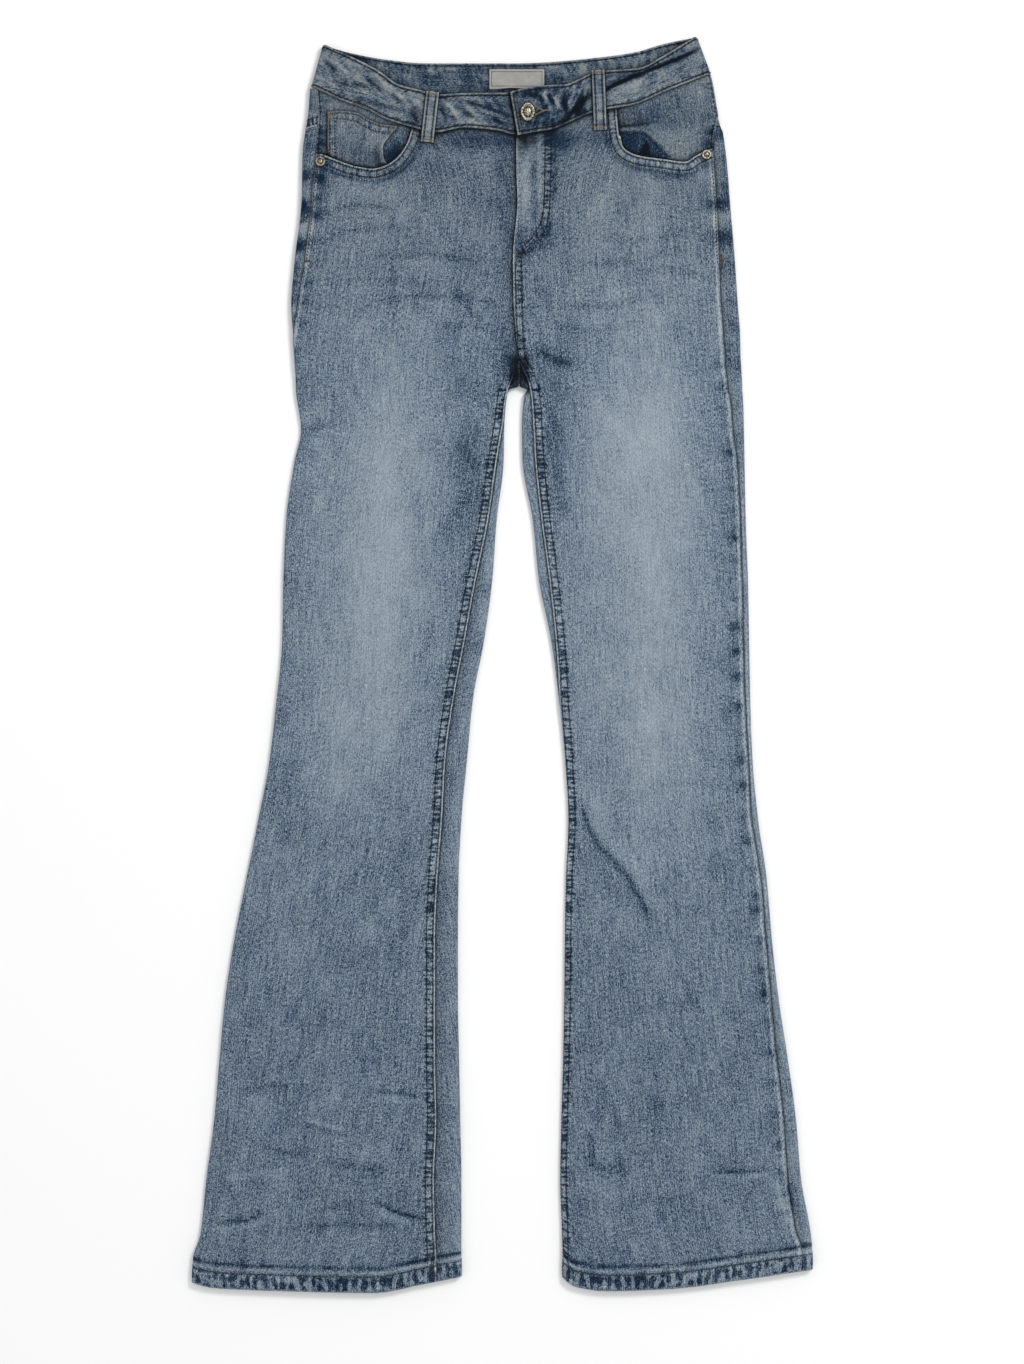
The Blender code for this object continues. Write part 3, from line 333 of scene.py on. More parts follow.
BAND_CREASES = table(
    Crease,
    # the long fold over the left of the band: a valley, its lip, and the gloom above it
    (47, 470, 79, 501, 1, 3, -1, -0.56), (86, 501, 121, 518, 0, 1.5, -1.2, -0.8),
    (117, 516, 174, 540, -1, 1.6, -1.2, -0.75), (92, 507, 124, 521, 0, 4, 0.4, -0.26),
    (53, 478, 72, 500, 1, 1.8, 0.8, 0.2), (90, 496, 126, 511, 0, 3.6, 0.7, 0.12),
    (126, 512, 176, 531, 0, 3.6, 0.5, 0.1),
    # creases of the overlap
    (18, 499, 38, 494, 1, 2.6, -0.3, -0.4), (34, 501, 43, 483, 1, 1.6, 0.4, 0.32),
    (39, 500, 47, 488, 0, 1.6, -0.4, -0.4), (43, 499, 54, 484, -1, 1.5, 0.4, 0.26),
    (50, 499, 56, 481, 1, 2.4, -0.5, -0.45), (65, 505, 56, 490, 1, 1.8, 0.4, 0.24),
    (70, 500, 64, 480, 1, 3.4, -0.5, -0.45), (20, 473, 46, 473, 0, 2.2, -0.3, -0.28),
    (30, 478, 50, 479, 0, 1.6, 0.3, 0.14), (30, 497, 33, 489, 0, 1.6, 0.2, 0.2),
    (34, 481, 46, 475, 0, 1.8, -0.3, -0.3),
    # creases of the right of the band, from the loop to the overlap
    (-54, 490, -49, 474, 0, 2, -0.4, -0.36), (-49, 494, -38, 478, 0, 1.8, 0.4, 0.16),
    (-43, 490, -25, 478, 1, 2, -0.4, -0.32), (-34, 494, 4, 482, -1, 1.7, -0.7, -0.42),
    (-39, 498, -11, 492, 0, 1.8, 0.4, 0.14), (-20, 487, 2, 479, 0, 2, 0.4, 0.12),
    (-10, 478, 6, 471, 0, 2, -0.4, -0.3), (-34, 478, -20, 472, 0, 2.4, 0.3, 0.1),
    # creases from the side fold to the loop
    (-157, 530, -145, 518, 1, 2.4, -0.4, -0.36), (-149, 512, -135, 506, 0, 2.4, -0.4, -0.32),
    (-132, 509, -118, 505, 0, 2.2, -0.4, -0.3), (-114, 518, -100, 505, 1, 1.8, 0.4, 0.18),
    (-120, 514, -104, 500, 0, 2.2, -0.5, -0.34), (-101, 507, -87, 494, 0, 1.8, 0.4, 0.16),
    (-98, 500, -86, 491, 0, 2, -0.4, -0.28), (-80, 489, -73, 473, 0, 3.4, -0.4, -0.34),
    (-146, 524, -126, 512, 1, 2, 0.4, 0.12), (-166, 519, -156, 509, 0, 3, 0.3, 0.1),
    (-142, 500, -112, 488, 1, 1.8, -0.4, -0.2), (-112, 492, -88, 482, 1, 2.2, -0.3, -0.18),
)
# Streaks painted as the light and shade of small wrinkles on the band: from x, to x, direction in degrees,
# and depth
Streak = namedtuple("Streak", "x0 x1 turn depth")
BAND_STREAKS = table(
    Streak,
    (-190, 16, -38, 0.21), (16, 80, 66, 0.29), (80, 190, 24, 0.18),
)
BAND_PATCHES = table(
    Patch,
    (40, 486, 26, 20, -0.24), (-6, 484, 14, 12, -0.1), (-110, 505, 40, 12, -0.02),
    (150, 522, 20, 12, -0.06), (-130, 510, 20, 20, 0.03), (120, 505, 24, 8, 0.06),
    (104, 517, 20, 5, -0.12),
)
UNDER_CREASES = table(
    Crease,
    (-166, 196, -110, 190, 3, 3.4, -0.5, -0.08), (-172, 180, -96, 172, 3, 3.6, -0.5, -0.08),
    (60, 196, 130, 202, 3, 3.4, -0.5, -0.08), (70, 178, 160, 184, 3, 3.6, -0.5, -0.08),
    (-110, -20, -176, -40, -3, 4, -0.5, -0.08), (-130, 0, -186, -6, -3, 4, -0.5, -0.07),
    (86, -24, 170, -38, 3, 4, -0.5, -0.08), (110, 4, 190, -4, 3, 4, -0.5, -0.07),
    (-66, 262, -130, 250, 4, 4, -0.4, -0.08), (66, 258, 150, 248, -4, 4, -0.4, -0.08),
    (-90, -420, -150, -428, 2, 3, -0.4, -0.06), (-160, -466, -230, -458, 2, 3, -0.4, -0.06),
    (100, -436, 170, -442, 2, 3, -0.4, -0.06), (160, -478, 240, -470, 2, 3, -0.4, -0.06),
)

# How strongly the creases' painted shade and highlights show in the wash
LEG_CREASE_SHADE, HEM_CREASE_SHADE, HIP_CREASE_SHADE = 1.4, 2.8, 1.8

# Shades of the wash
TOP_LEVEL, UNDER_LEVEL = 0.30, 0.33
TOP_PATCHES = table(
    Patch,
    # worn thighs and knees
    (-96, 196, 44, 96, 0.2), (-112, 64, 42, 110, 0.24), (-136, -66, 42, 74, 0.16),
    (122, 206, 46, 96, 0.25), (130, 62, 48, 120, 0.25), (128, -84, 50, 74, 0.15),
    (-104, 404, 50, 26, 0.05), (-110, 436, 34, 12, -0.13), (-58, 430, 18, 26, -0.09),
    (96, 398, 54, 34, 0.07), (50, 424, 20, 26, -0.08), (13, 373, 10, 13, -0.15),
    (-60, 330, 70, 40, 0.03), (110, 320, 70, 40, 0.04), (-170, -200, 50, 60, 0.03),
    (150, -200, 60, 90, 0.04), (-150, -440, 60, 50, -0.02),
    # painted shade by the fly, under the band and at the crotch; deeper blue by the seams; paler strips
    (-28, 170, 12, 70, -0.1), (48, 190, 11, 70, -0.08), (68, 40, 26, 170, 0.08),
    (56, 110, 14, 60, 0.03), (-162, 110, 20, 130, 0.075), (-64, 20, 24, 110, 0.05),
    (-90, -70, 24, 70, 0.05), (-54, 46, 10, 40, 0.05), (206, 200, 13, 150, -0.05),
    (4, 420, 12, 60, -0.13), (-16, 458, 34, 9, -0.15), (66, 460, 36, 9, -0.17), (43, 465, 9, 8, -0.16),
    (-30, 459, 40, 8, -0.1), (-53, 471, 10, 6, -0.12), (52, 452, 12, 12, -0.12), (2, 300, 8, 44, -0.1),
    (30, 270, 18, 16, -0.12), (4, 268, 12, 16, -0.1), (42, 380, 12, 14, -0.1), (18, 362, 9, 12, -0.12),
    # blue bunches and worn spots on the outer seams of the hips
    (-168, 455, 6, 7, -0.22), (-171, 428, 6, 6, -0.28), (-158, 421, 6, 8, -0.14),
    (-173, 398, 9, 8, -0.4), (-160, 399, 6, 5, -0.14), (-175, 383, 6, 5, 0.2),
    (-176, 369, 9, 6, -0.38), (-178, 344, 7, 5, -0.2), (-180, 322, 7, 5, -0.2),
    (-181, 304, 7, 4, -0.18), (190, 464, 6, 7, -0.34), (193, 441, 6, 5, -0.2), (193, 418, 7, 5, -0.36),
    (189, 403, 12, 6, -0.44), (193, 390, 8, 5, 0.22), (194, 375, 12, 8, -0.38),
    (197, 347, 8, 6, -0.24), (200, 317, 7, 5, -0.22), (202, 296, 7, 4, -0.2), (203, 262, 7, 5, -0.16),
    (-36, 372, 18, 66, -0.03), (38, 350, 16, 40, -0.05),
    # the darkest place, where the four panels meet: painted shade
    (14.5, 262, 8, 9, -0.22), (14.5, 250, 10, 8, -0.26),
)
UNDER_PATCHES = table(
    Patch,
    (-95, 300, 60, 50, 0.12), (110, 300, 60, 50, 0.12), (-110, 120, 50, 90, 0.05),
    (130, 120, 50, 90, 0.05), (13, 300, 14, 90, -0.1), (-120, -20, 60, 30, -0.05),
    (130, -20, 60, 30, -0.05),
)
FACING_PATCHES = table(
    Patch,
    (118, 484, 30, 5, -0.05), (122, 474, 24, 8, -0.13), (122, 490, 26, 12, -0.08),
    (150, 484, 24, 16, -0.06), (-130, 464, 34, 20, -0.06),
    # painted shade in the gap between the coin pocket and the pocket mouth, and a darker strip by the outer
    # seam
    (-92, 452, 8, 9, -0.26), (-99, 445, 10, 6, -0.24), (-160, 474, 6, 26, -0.08),
)
FACING_CREASES = table(
    Crease,
    (96, 471, 132, 475, -1, 1.5, -1, -0.8), (94, 475, 126, 479, -1, 4.2, 0, -0.34),
    (104, 477, 140, 485, -1, 3, 0.5, 0),
)
# Lower edge of the left facing, where the deep corner of the pocket begins
BAG_EDGE = table(
    Edge,
    (99, 466), (106, 467), (118, 467), (125, 465.5), (131, 461), (136.5, 455.5), (145.5, 446.5),
)

# Where the cloth bunches along the outer seams, as dark spots on their inner side
BUNCHES_LEFT = (
    262, 242, 224, 210, 186, 154, 136, 112, 92, 58, 34, 12, -10, -36, -60, -84, -106, -130, -154, -178, -202,
    -214, -242, -266, -288, -312, -340, -366, -392, -420, -444, -466, -486,
)
BUNCHES_RIGHT = (440, 426, 408, 392, 372, 350, 334, 316, 298, 276, 250)
BACK_BUNCHES_LEFT = (470, 430, 408, 388, 366, 350, 338)
BACK_BUNCHES_RIGHT = (486, 472, 446, 428, 404, 388, 364, 350, 334, 316, 300)
BUNCH_ACROSS, BUNCH_ALONG, BUNCH_INSET = 6.5, 4.6, 5.5

# Heights between which a place passes from the underside to the top, for the creases and for the wash
CREASE_CHANGE, WASH_CHANGE = (2.2, 4.2), (1.6, 3.6)
# Heights between which the crotch passes into the legs
BELOW_CROTCH = (262, 240)

# Ridges that the allowances inside make along an edge: height and width
SEAM_RIDGE = (0.42, 1.7)
OUTSEAM_RIDGE = (0.7 * 0.42, 1.7)
MOUTH_RIDGE = (0.5, 1.6)

# Puckers beside a seam: the distances from it at which they start, are full, last and stop
HEM_PUCKERS = (0.8, 2.4, HEM_STITCH - 1.4, HEM_STITCH + 0.6)
INSEAM_PUCKERS = (0.9, 2.2, 7.5, 11.0)
MOUTH_PUCKERS = (1.0, 2.0, 7.6, 9.4)
FLY_PUCKERS = (0.0, 1.4, 8.2, 10.5)
CENTRE_PUCKERS = (1, 2.4, 7.6, 10)
BACK_TOP_PUCKERS = (1, 2.4, 7, 9)
YOKE_PUCKERS = (1, 2.2, 7.5, 10)
COIN_PUCKERS = (0.9, 1.8, 6.5, 8.5)
PATCH_PUCKERS = (0.9, 2.0, 7.0, 9.5)
BAND_PUCKERS = (6, 3.5, 1.8, 0.8)

# Painted shadow beside an edge that lies over the cloth: a thin dark line and its reach, and a soft one round
# it
Gloom = namedtuple("Gloom", "dark reach soft spread")
FRONT_AT_WAIST = Gloom(0.95, 2.4, 0.38, 7.0)
FRONT_AT_FLY = Gloom(0.80, 1.7, 0.30, 6.0)
BESIDE_LOOPS = Gloom(0.68, 1.3, 0.20, 4.0)
FACING_AT_MOUTH = Gloom(0.86, 2.2, 0.34, 6.0)
FACING_AT_WAIST = Gloom(0.75, 1.6, 0.16, 4.0)
FACING_AT_COIN = Gloom(0.62, 1.4, 0.16, 4.0)
COIN_AT_MOUTH = Gloom(0.88, 2.4, 0.24, 5.5)
BAND_AT_OVERLAP = Gloom(0.92, 1.9, 0.44, 6.5)
BAND_OVER_FRONT = Gloom(0.62, 1.6, 0.34, 6.5)

# The wash, from unworn indigo to threadbare white
WASH = (
    (0.00, (0.004, 0.014, 0.032)),
    (0.10, (0.022, 0.048, 0.090)),
    (0.20, (0.057, 0.096, 0.157)),
    (0.32, (0.119, 0.171, 0.241)),
    (0.44, (0.186, 0.240, 0.298)),
    (0.60, (0.271, 0.318, 0.356)),
    (0.80, (0.358, 0.414, 0.466)),
    (1.00, (0.465, 0.522, 0.570)),
)
# The same where wear and handling have made it greyer
WARM_WASH = [
    (place, (red * (1 + 0.13 * min(place / 0.3, 1)), green, blue * (1 - 0.14 * min(place / 0.3, 1))))
    for place, (red, green, blue) in WASH
]
# The near black that painted shade mixes the denim's colour towards
PAINTED_SHADE_COLOUR = (0.002, 0.004, 0.008, 1)
PUCKER_PITCH = 4.0

# Camera and light, in metres
CAMERA_PLACE = (0.0083, -0.0149, 3.321)
LENS, SENSOR = 100.0, 36.0
KEY_PLACE, KEY_SIZE, KEY_ENERGY = (1.9, 1.9, 2.6), 1.1, 62.0
WORLD_STRENGTH = 0.755
FLOOR_SIZE = 6.0
# The floor lies this far below the cloth, so that their faces don't coincide
FLOOR_GAP = 0.3 * MM

# The cut of each sheet as far as it shows, all round: width and length of its rectangle, and its own area
Cut = namedtuple("Cut", "width length area")


def ease(value, start, end):
    """0 before start and 1 after end, with a soft passage between; start may be the larger."""
    t = np.clip((np.asarray(value, float) - start) / (end - start), 0, 1)
    return t * t * (3 - 2 * t)


def strip(value, low, full, still, high):
    """1 from full to still, and 0 outside low and high."""
    return ease(value, low, full) * ease(value, high, still)


def hump(value, middle, reach):
    """1 at the middle, and fading softly on both sides."""
    return np.exp(-(((value - middle) / reach) ** 2))


def curve(places, values, at):
    """A smooth curve through the given values that never overshoots them."""
    x = np.asarray(places, float)
    y = np.asarray(values, float)
    if x[0] > x[-1]:
        x, y = x[::-1], y[::-1]
    step = np.diff(x)
    rise = np.diff(y) / step
    slope = np.zeros_like(y)
    same = rise[:-1] * rise[1:] > 0
    first, second = 2 * step[1:] + step[:-1], step[1:] + 2 * step[:-1]
    with np.errstate(divide="ignore", invalid="ignore"):
        middle = (first + second) / (first / rise[:-1] + second / rise[1:])
    slope[1:-1] = np.where(same, middle, 0)
    slope[0], slope[-1] = rise[0], rise[-1]
    at = np.clip(np.asarray(at, float), x[0], x[-1])
    k = np.clip(np.searchsorted(x, at, side="right") - 1, 0, len(step) - 1)
    t = (at - x[k]) / step[k]
    ends = (1 + 2 * t) * (1 - t) ** 2 * y[k] + t * t * (3 - 2 * t) * y[k + 1]
    slopes = t * (1 - t) ** 2 * slope[k] + t * t * (t - 1) * slope[k + 1]
    return ends + step[k] * slopes


def column(rows, name, at, key="y"):
    """A named column of a table, read at any place between its rows."""
    return curve([getattr(row, key) for row in rows], [getattr(row, name) for row in rows], at)


def along(points, count):
    """Points evenly spaced along a smooth line through the given ones."""
    points = np.asarray(points, float)
    knots = np.arange(len(points))
    fine = np.linspace(0, len(points) - 1, 40 * len(points))
    dense = np.stack([curve(knots, points[:, axis], fine) for axis in range(points.shape[1])], axis=1)
    length = np.concatenate([[0], np.cumsum(np.linalg.norm(np.diff(dense, axis=0), axis=1))])
    want = np.linspace(0, length[-1], count)
    return np.stack([np.interp(want, length, dense[:, axis]) for axis in range(points.shape[1])], axis=1)


def plan(points):
    """Where points lie as seen from above."""
    return points[..., 0], points[..., 1]


def grid(across, down, columns, rows):
    """Values spread evenly from end to end, across a grid and down it."""
    return np.meshgrid(np.linspace(*across, columns), np.linspace(*down, rows))


def band_ribs(ribs):
    knots = np.arange(len(ribs))
    at = np.linspace(0, len(ribs) - 1, RIB_STEPS * (len(ribs) - 1) + 1)
    return np.stack([curve(knots, [rib[k] for rib in ribs], at) for k in range(4)], axis=1)


LATTICE_SIZE = 97
LATTICE = rng.uniform(-1, 1, (LATTICE_SIZE, LATTICE_SIZE))


def uneven(x, y, size, shift):
    """Smooth chance values from -1 to 1 over a surface, about the given size apart."""
    u, v = np.asarray(x) / size + 13.7 * shift, np.asarray(y) / size + 7.9 * shift
    i, j = np.floor(u).astype(int), np.floor(v).astype(int)
    across, up = ease(u - i, 0, 1), ease(v - j, 0, 1)
    corner = [[LATTICE[(i + a) % LATTICE_SIZE, (j + b) % LATTICE_SIZE] for b in (0, 1)] for a in (0, 1)]
    low = corner[0][0] * (1 - across) + corner[1][0] * across
    high = corner[0][1] * (1 - across) + corner[1][1] * across
    return low * (1 - up) + high * up


def creased(creases, x, y):
    """Height of the creases over places, and how much they shade the wash."""
    height, shade = np.zeros(np.shape(x)), np.zeros(np.shape(x))
    wobble = 0.3 * uneven(x, y, 9, 11)
    for crease in creases:
        dx, dy = crease.x1 - crease.x0, crease.y1 - crease.y0
        length = np.hypot(dx, dy)
        t = ((x - crease.x0) * dx + (y - crease.y0) * dy) / length**2
        off = ((y - crease.y0) * dx - (x - crease.x0) * dy) / length - crease.bow * 4 * t * (1 - t)
        ends = strip(t, -0.1, 0.25, 0.75, 1.1)
        profile = hump(off / crease.width + wobble, 0, 1) * ends
        height += crease.height * profile
        shade += crease.shade * profile
    return height, shade


def spotted(patches, x, y):
    return sum(
        spot.level * hump(x, spot.x, spot.across) * hump(y, spot.y, spot.along)
        for spot in patches
    )


def upper_relief(x, y):
    leg, leg_shade = creased(LEG_CREASES, x, y)
    hip, hip_shade = creased(HIP_CREASES, x, y)
    soft = 0.30 * uneven(x, y, 46, 1) + 0.16 * uneven(x, y, 17, 2) + 0.07 * uneven(x, y, 7, 3)
    low = ease(y, -330, -400)
    leg_depth = LEG_CREASE_SHADE + (HEM_CREASE_SHADE - LEG_CREASE_SHADE) * low
    return leg + hip + soft, leg_depth * leg_shade + HIP_CREASE_SHADE * hip_shade


def under_relief(x, y):
    """The underside only ever rises from the surface that it lies on."""
    height, shade = creased(UNDER_CREASES, x, y)
    return -height, shade


def lie(points):
    """Lays the creases into points of the plain surface: upper ones above the folds, lower ones below."""
    x, y, z = points[..., 0], points[..., 1], points[..., 2]
    upper = ease(z, *CREASE_CHANGE)
    points[..., 2] = z + upper * upper_relief(x, y)[0] + (1 - upper) * under_relief(x, y)[0]
    return points


def wash(points):
    """How pale the denim is at points, with painted shade and highlights from creases and some patches."""
    x, y, z = points[..., 0], points[..., 1], points[..., 2]
    upper = ease(z, *WASH_CHANGE)
    cloudy = 0.035 * uneven(x, y, 26, 4) + 0.03 * uneven(x, y, 10, 5) + 0.03 * uneven(x, y / 5, 12, 6)
    top = TOP_LEVEL + spotted(TOP_PATCHES, x, y) + upper_relief(x, y)[1]
    under = UNDER_LEVEL + spotted(UNDER_PATCHES, x, y) + under_relief(x, y)[1]
    return upper * top + (1 - upper) * under + cloudy


class Side:
    """One leg with its half of the hips: a flattened tube that panels are read from."""

    def __init__(self, name, sections, hem, mouth, band, sign):
        self.name, self.sections, self.hem, self.mouth, self.band = name, sections, hem, mouth, band
        self.inward = sign

    def side(self, y):
        return column(self.sections, "side", y)

    def leg_share(self, y):
        """0 in the hips, where both halves share one hollow, and 1 in the legs."""
        return ease(y, *SEAT_BLEND)

    def inner(self, y, back=False):
        line = column(self.sections, "inner", y)
        if not back:
            return line
        return CENTRE_BACK + (line - CENTRE_BACK) * self.leg_share(y)

    def floor(self, y):
        """Height of the lower surface: clear of the patch pockets at the seat, and of the doubled hem."""
        hem = HEM_PROUD * ease(y, *HEM_LIFT_ENDS)
        return SEAT_LIFT * (1 - ease(y, *SEAT_LIFT_ENDS)) + hem

    def edge(self, y):
        return column(HEIGHTS, "edge", y)

    def top(self, x, y):
        """Height of the upper surface."""
        radius = self.edge(y) / 2
        low, high = RIGHT.side(y) + radius, LEFT.side(y) - radius
        across = np.clip((x - low) / (high - low), 0, 1)
        inner_round = radius * self.leg_share(y)
        start, end = self.side(y) + self.inward * radius, self.inner(y) - self.inward * inner_round
        in_leg = np.clip((x - start) / (end - start), 0, 1)
        hips = 1 - np.abs(2 * across - 1) ** 4
        leg = 1 - np.abs(2 * in_leg - 1) ** 4
        share = self.leg_share(y)
        bulge = hips * (1 - share) + leg * share
        return self.floor(y) + self.edge(y) + column(HEIGHTS, "loft", y) * bulge

    def fold(self, girth, radius, wall):
        """Distance in from an edge, and height in units from its middle, for a girth along its fold."""
        size = np.abs(girth)
        angle = np.clip((size - wall / 2) / np.maximum(radius, 1e-6), 0, np.pi / 2)
        flat = np.maximum(size - wall / 2 - radius * np.pi / 2, 0)
        distance = radius * (1 - np.cos(angle)) + flat
        rise = np.minimum(size, wall / 2) + radius * np.sin(angle)
        return distance, np.sign(girth) * rise

    def girth(self, y, back=False):
        """Length over the top from the side fold to the inner edge, and the inner fold's radius and wall."""
        radius = self.edge(y) / 2
        inner = self.inner(y, back)
        height = self.top(inner, y) - self.floor(y)
        inner_radius = height / 2 * self.leg_share(y)
        wall = height - 2 * inner_radius
        width = np.abs(inner - self.side(y))
        total = radius * np.pi / 2 + width - radius - inner_radius + inner_radius * np.pi / 2 + wall / 2
        return total, inner_radius, wall

    def place(self, y, p, back=False):
        """The point of the outer surface at height y and girth p."""
        y, p = np.broadcast_arrays(np.asarray(y, float), np.asarray(p, float))
        total, inner_radius, wall = self.girth(y, back)
        radius = self.edge(y) / 2
        near, near_rise = self.fold(p, radius, 0)
        from_inner = np.where(p > 0, total - p, -(total + p))
        far, far_rise = self.fold(from_inner, inner_radius, wall)
        by_side = np.abs(p) < total / 2
        x_near = self.side(y) + self.inward * near
        x_far = self.inner(y, back) - self.inward * far
        x = np.where(by_side, x_near, x_far)
        over = np.where(by_side, p > 0, from_inner > 0)
        top = self.top(x, y)
        bottom = self.floor(y)
        edge_middle = bottom + self.edge(y) / 2
        inner_middle = (self.top(self.inner(y, back), y) + bottom) / 2
        on_fold = np.where(by_side, near < radius - 1e-9, far < inner_radius - 1e-9)
        folded = np.where(by_side, edge_middle + near_rise, inner_middle + far_rise)
        flat = np.where(over, top, bottom)
        z = np.where(on_fold, folded, flat)
        z = np.where(~by_side & (np.abs(from_inner) < wall / 2), inner_middle + from_inner, z)
        return np.stack([x, y, z], axis=-1)

    def girth_at(self, x, y):
        """The girth over the top at a place x that lies clear of the folds."""
        radius = self.edge(y) / 2
        return self.inward * (x - self.side(y)) + radius * (np.pi / 2 - 1)

    def outseam(self, y):
        return column(self.sections, "outseam", y)

    def inseam(self, y, back=False):
        """Girth where the front panel ends: the middle of the front, then the inner seam."""
        total, inner_radius, wall = self.girth(y, back)
        inset = self.inward * (self.inner(y, back) - column(self.sections, "inseam", y))
        on_top = wall / 2 + inner_radius * (np.pi / 2 - 1) + inset
        small = inset * np.pi / 2
        return total - np.where(inset > inner_radius, on_top, wall / 2 + small)

    def hem_shift(self, x, y):
        """How far a row near the hem follows the hem's own edge."""
        share = ease(y, HEM_LINE + HEM_BLEND, HEM_LINE)
        return share * (column(self.hem, "y", x, "x") - HEM_LINE)

    def waist(self, x):
        """Height of the waist seam at the front, on the band's own lower edge."""
        ribs = band_ribs(self.band)
        order = np.argsort(ribs[:, 0])
        return np.interp(x, ribs[order, 0], ribs[order, 1])


RIGHT = Side("right", RIGHT_SECTIONS, RIGHT_HEM, RIGHT_MOUTH, BAND_RIGHT, 1)
LEFT = Side("left", LEFT_SECTIONS, LEFT_HEM, LEFT_MOUTH, BAND_LEFT, -1)
SIDES = (RIGHT, LEFT)


class Socket:
    """A value in a material's nodes, which plain arithmetic adds Math nodes to."""

    def __init__(self, finish, output):
        self.finish, self.output = finish, output

    def maths(self, operation, first, second):
        node = self.finish.node("ShaderNodeMath", {"operation": operation}, {0: first, 1: second})
        return Socket(self.finish, node.outputs[0])

    def __add__(self, other):
        return self.maths("ADD", self, other)

    def __sub__(self, other):
        return self.maths("SUBTRACT", self, other)

    def __rsub__(self, other):
        return self.maths("SUBTRACT", other, self)

    def __mul__(self, other):
        return self.maths("MULTIPLY", self, other)

    def __truediv__(self, other):
        return self.maths("DIVIDE", self, other)

    __radd__ = __add__
    __rmul__ = __mul__

    def maths_of(self, operation):
        return self.maths(operation, self, 0.0)

    def between(self, low, high):
        """0 below low and 1 above high, softly; low may be the larger."""
        ends = {"From Min": low, "From Max": high, "To Min": 0.0, "To Max": 1.0, "Value": self}
        node = self.finish.node("ShaderNodeMapRange", {"interpolation_type": "SMOOTHSTEP"}, ends)
        return Socket(self.finish, node.outputs[0])


class Finish:
    """A material and its nodes."""

    def __init__(self, name, **fixed):
        self.material = bpy.data.materials.new(name)
        self.material.use_nodes = True
        self.tree = self.material.node_tree
        self.shader = self.tree.nodes["Principled BSDF"]
        for key, value in fixed.items():
            self.shader.inputs[key.replace("_", " ")].default_value = value

    def node(self, kind, settings=None, inputs=None):
        made = self.tree.nodes.new(kind)
        for key, value in (settings or {}).items():
            setattr(made, key, value)
        for key, value in (inputs or {}).items():
            self.feed(made.inputs[key], value)
        return made

    def feed(self, socket, value):
        if isinstance(value, Socket):
            self.tree.links.new(value.output, socket)
        elif isinstance(value, bpy.types.NodeSocket):
            self.tree.links.new(value, socket)
        else:
            socket.default_value = value

    def into(self, **inputs):
        for key, value in inputs.items():
            self.feed(self.shader.inputs[key.replace("_", " ")], value)

    def attribute(self, name):
        return Socket(self, self.node("ShaderNodeAttribute", {"attribute_name": name}).outputs["Fac"])

    def parts(self, vector):
        split = self.node("ShaderNodeSeparateXYZ", None, {0: vector})
        return [Socket(self, output) for output in split.outputs]

    def place(self):
        """The place on the object, in metres."""
        return self.parts(self.node("ShaderNodeTexCoord").outputs["Object"])

    def cloth_map(self):
        """Millimetres across and along the cloth."""
        return self.parts(self.node("ShaderNodeUVMap", {"uv_map": "cloth"}).outputs[0])[:2]

    def bell(self, value, middle, reach):
        """1 at the middle, down to 0 at the given reach on both sides of it."""
        return value.between(middle - reach, middle) * value.between(middle + reach, middle)

    def noise(self, x, y, z=0.0, detail=0.0, roughness=0.5):
        vector = self.node("ShaderNodeCombineXYZ", None, {0: x, 1: y, 2: z})
        inputs = {"Vector": vector.outputs[0], "Scale": 1.0, "Detail": detail, "Roughness": roughness}
        return Socket(self, self.node("ShaderNodeTexNoise", None, inputs).outputs["Fac"])

    def ramp(self, value, stops):
        node = self.node("ShaderNodeValToRGB", None, {0: value})
        stripe = node.color_ramp
        while len(stripe.elements) < len(stops):
            stripe.elements.new(0.5)
        for element, (place, colour) in zip(stripe.elements, stops):
            element.position = place
            element.color = (*colour, 1)
        return node.outputs["Color"]

    def mix(self, factor, first, second):
        node = self.node("ShaderNodeMix", {"data_type": "RGBA"}, {"Factor": factor})
        self.feed(node.inputs[6], first)
        self.feed(node.inputs[7], second)
        return node.outputs[2]

    def bump(self, height, strength=1.0):
        """Height in metres."""
        inputs = {"Height": height, "Strength": strength, "Distance": 1.0}
        return self.node("ShaderNodeBump", None, inputs).outputs["Normal"]


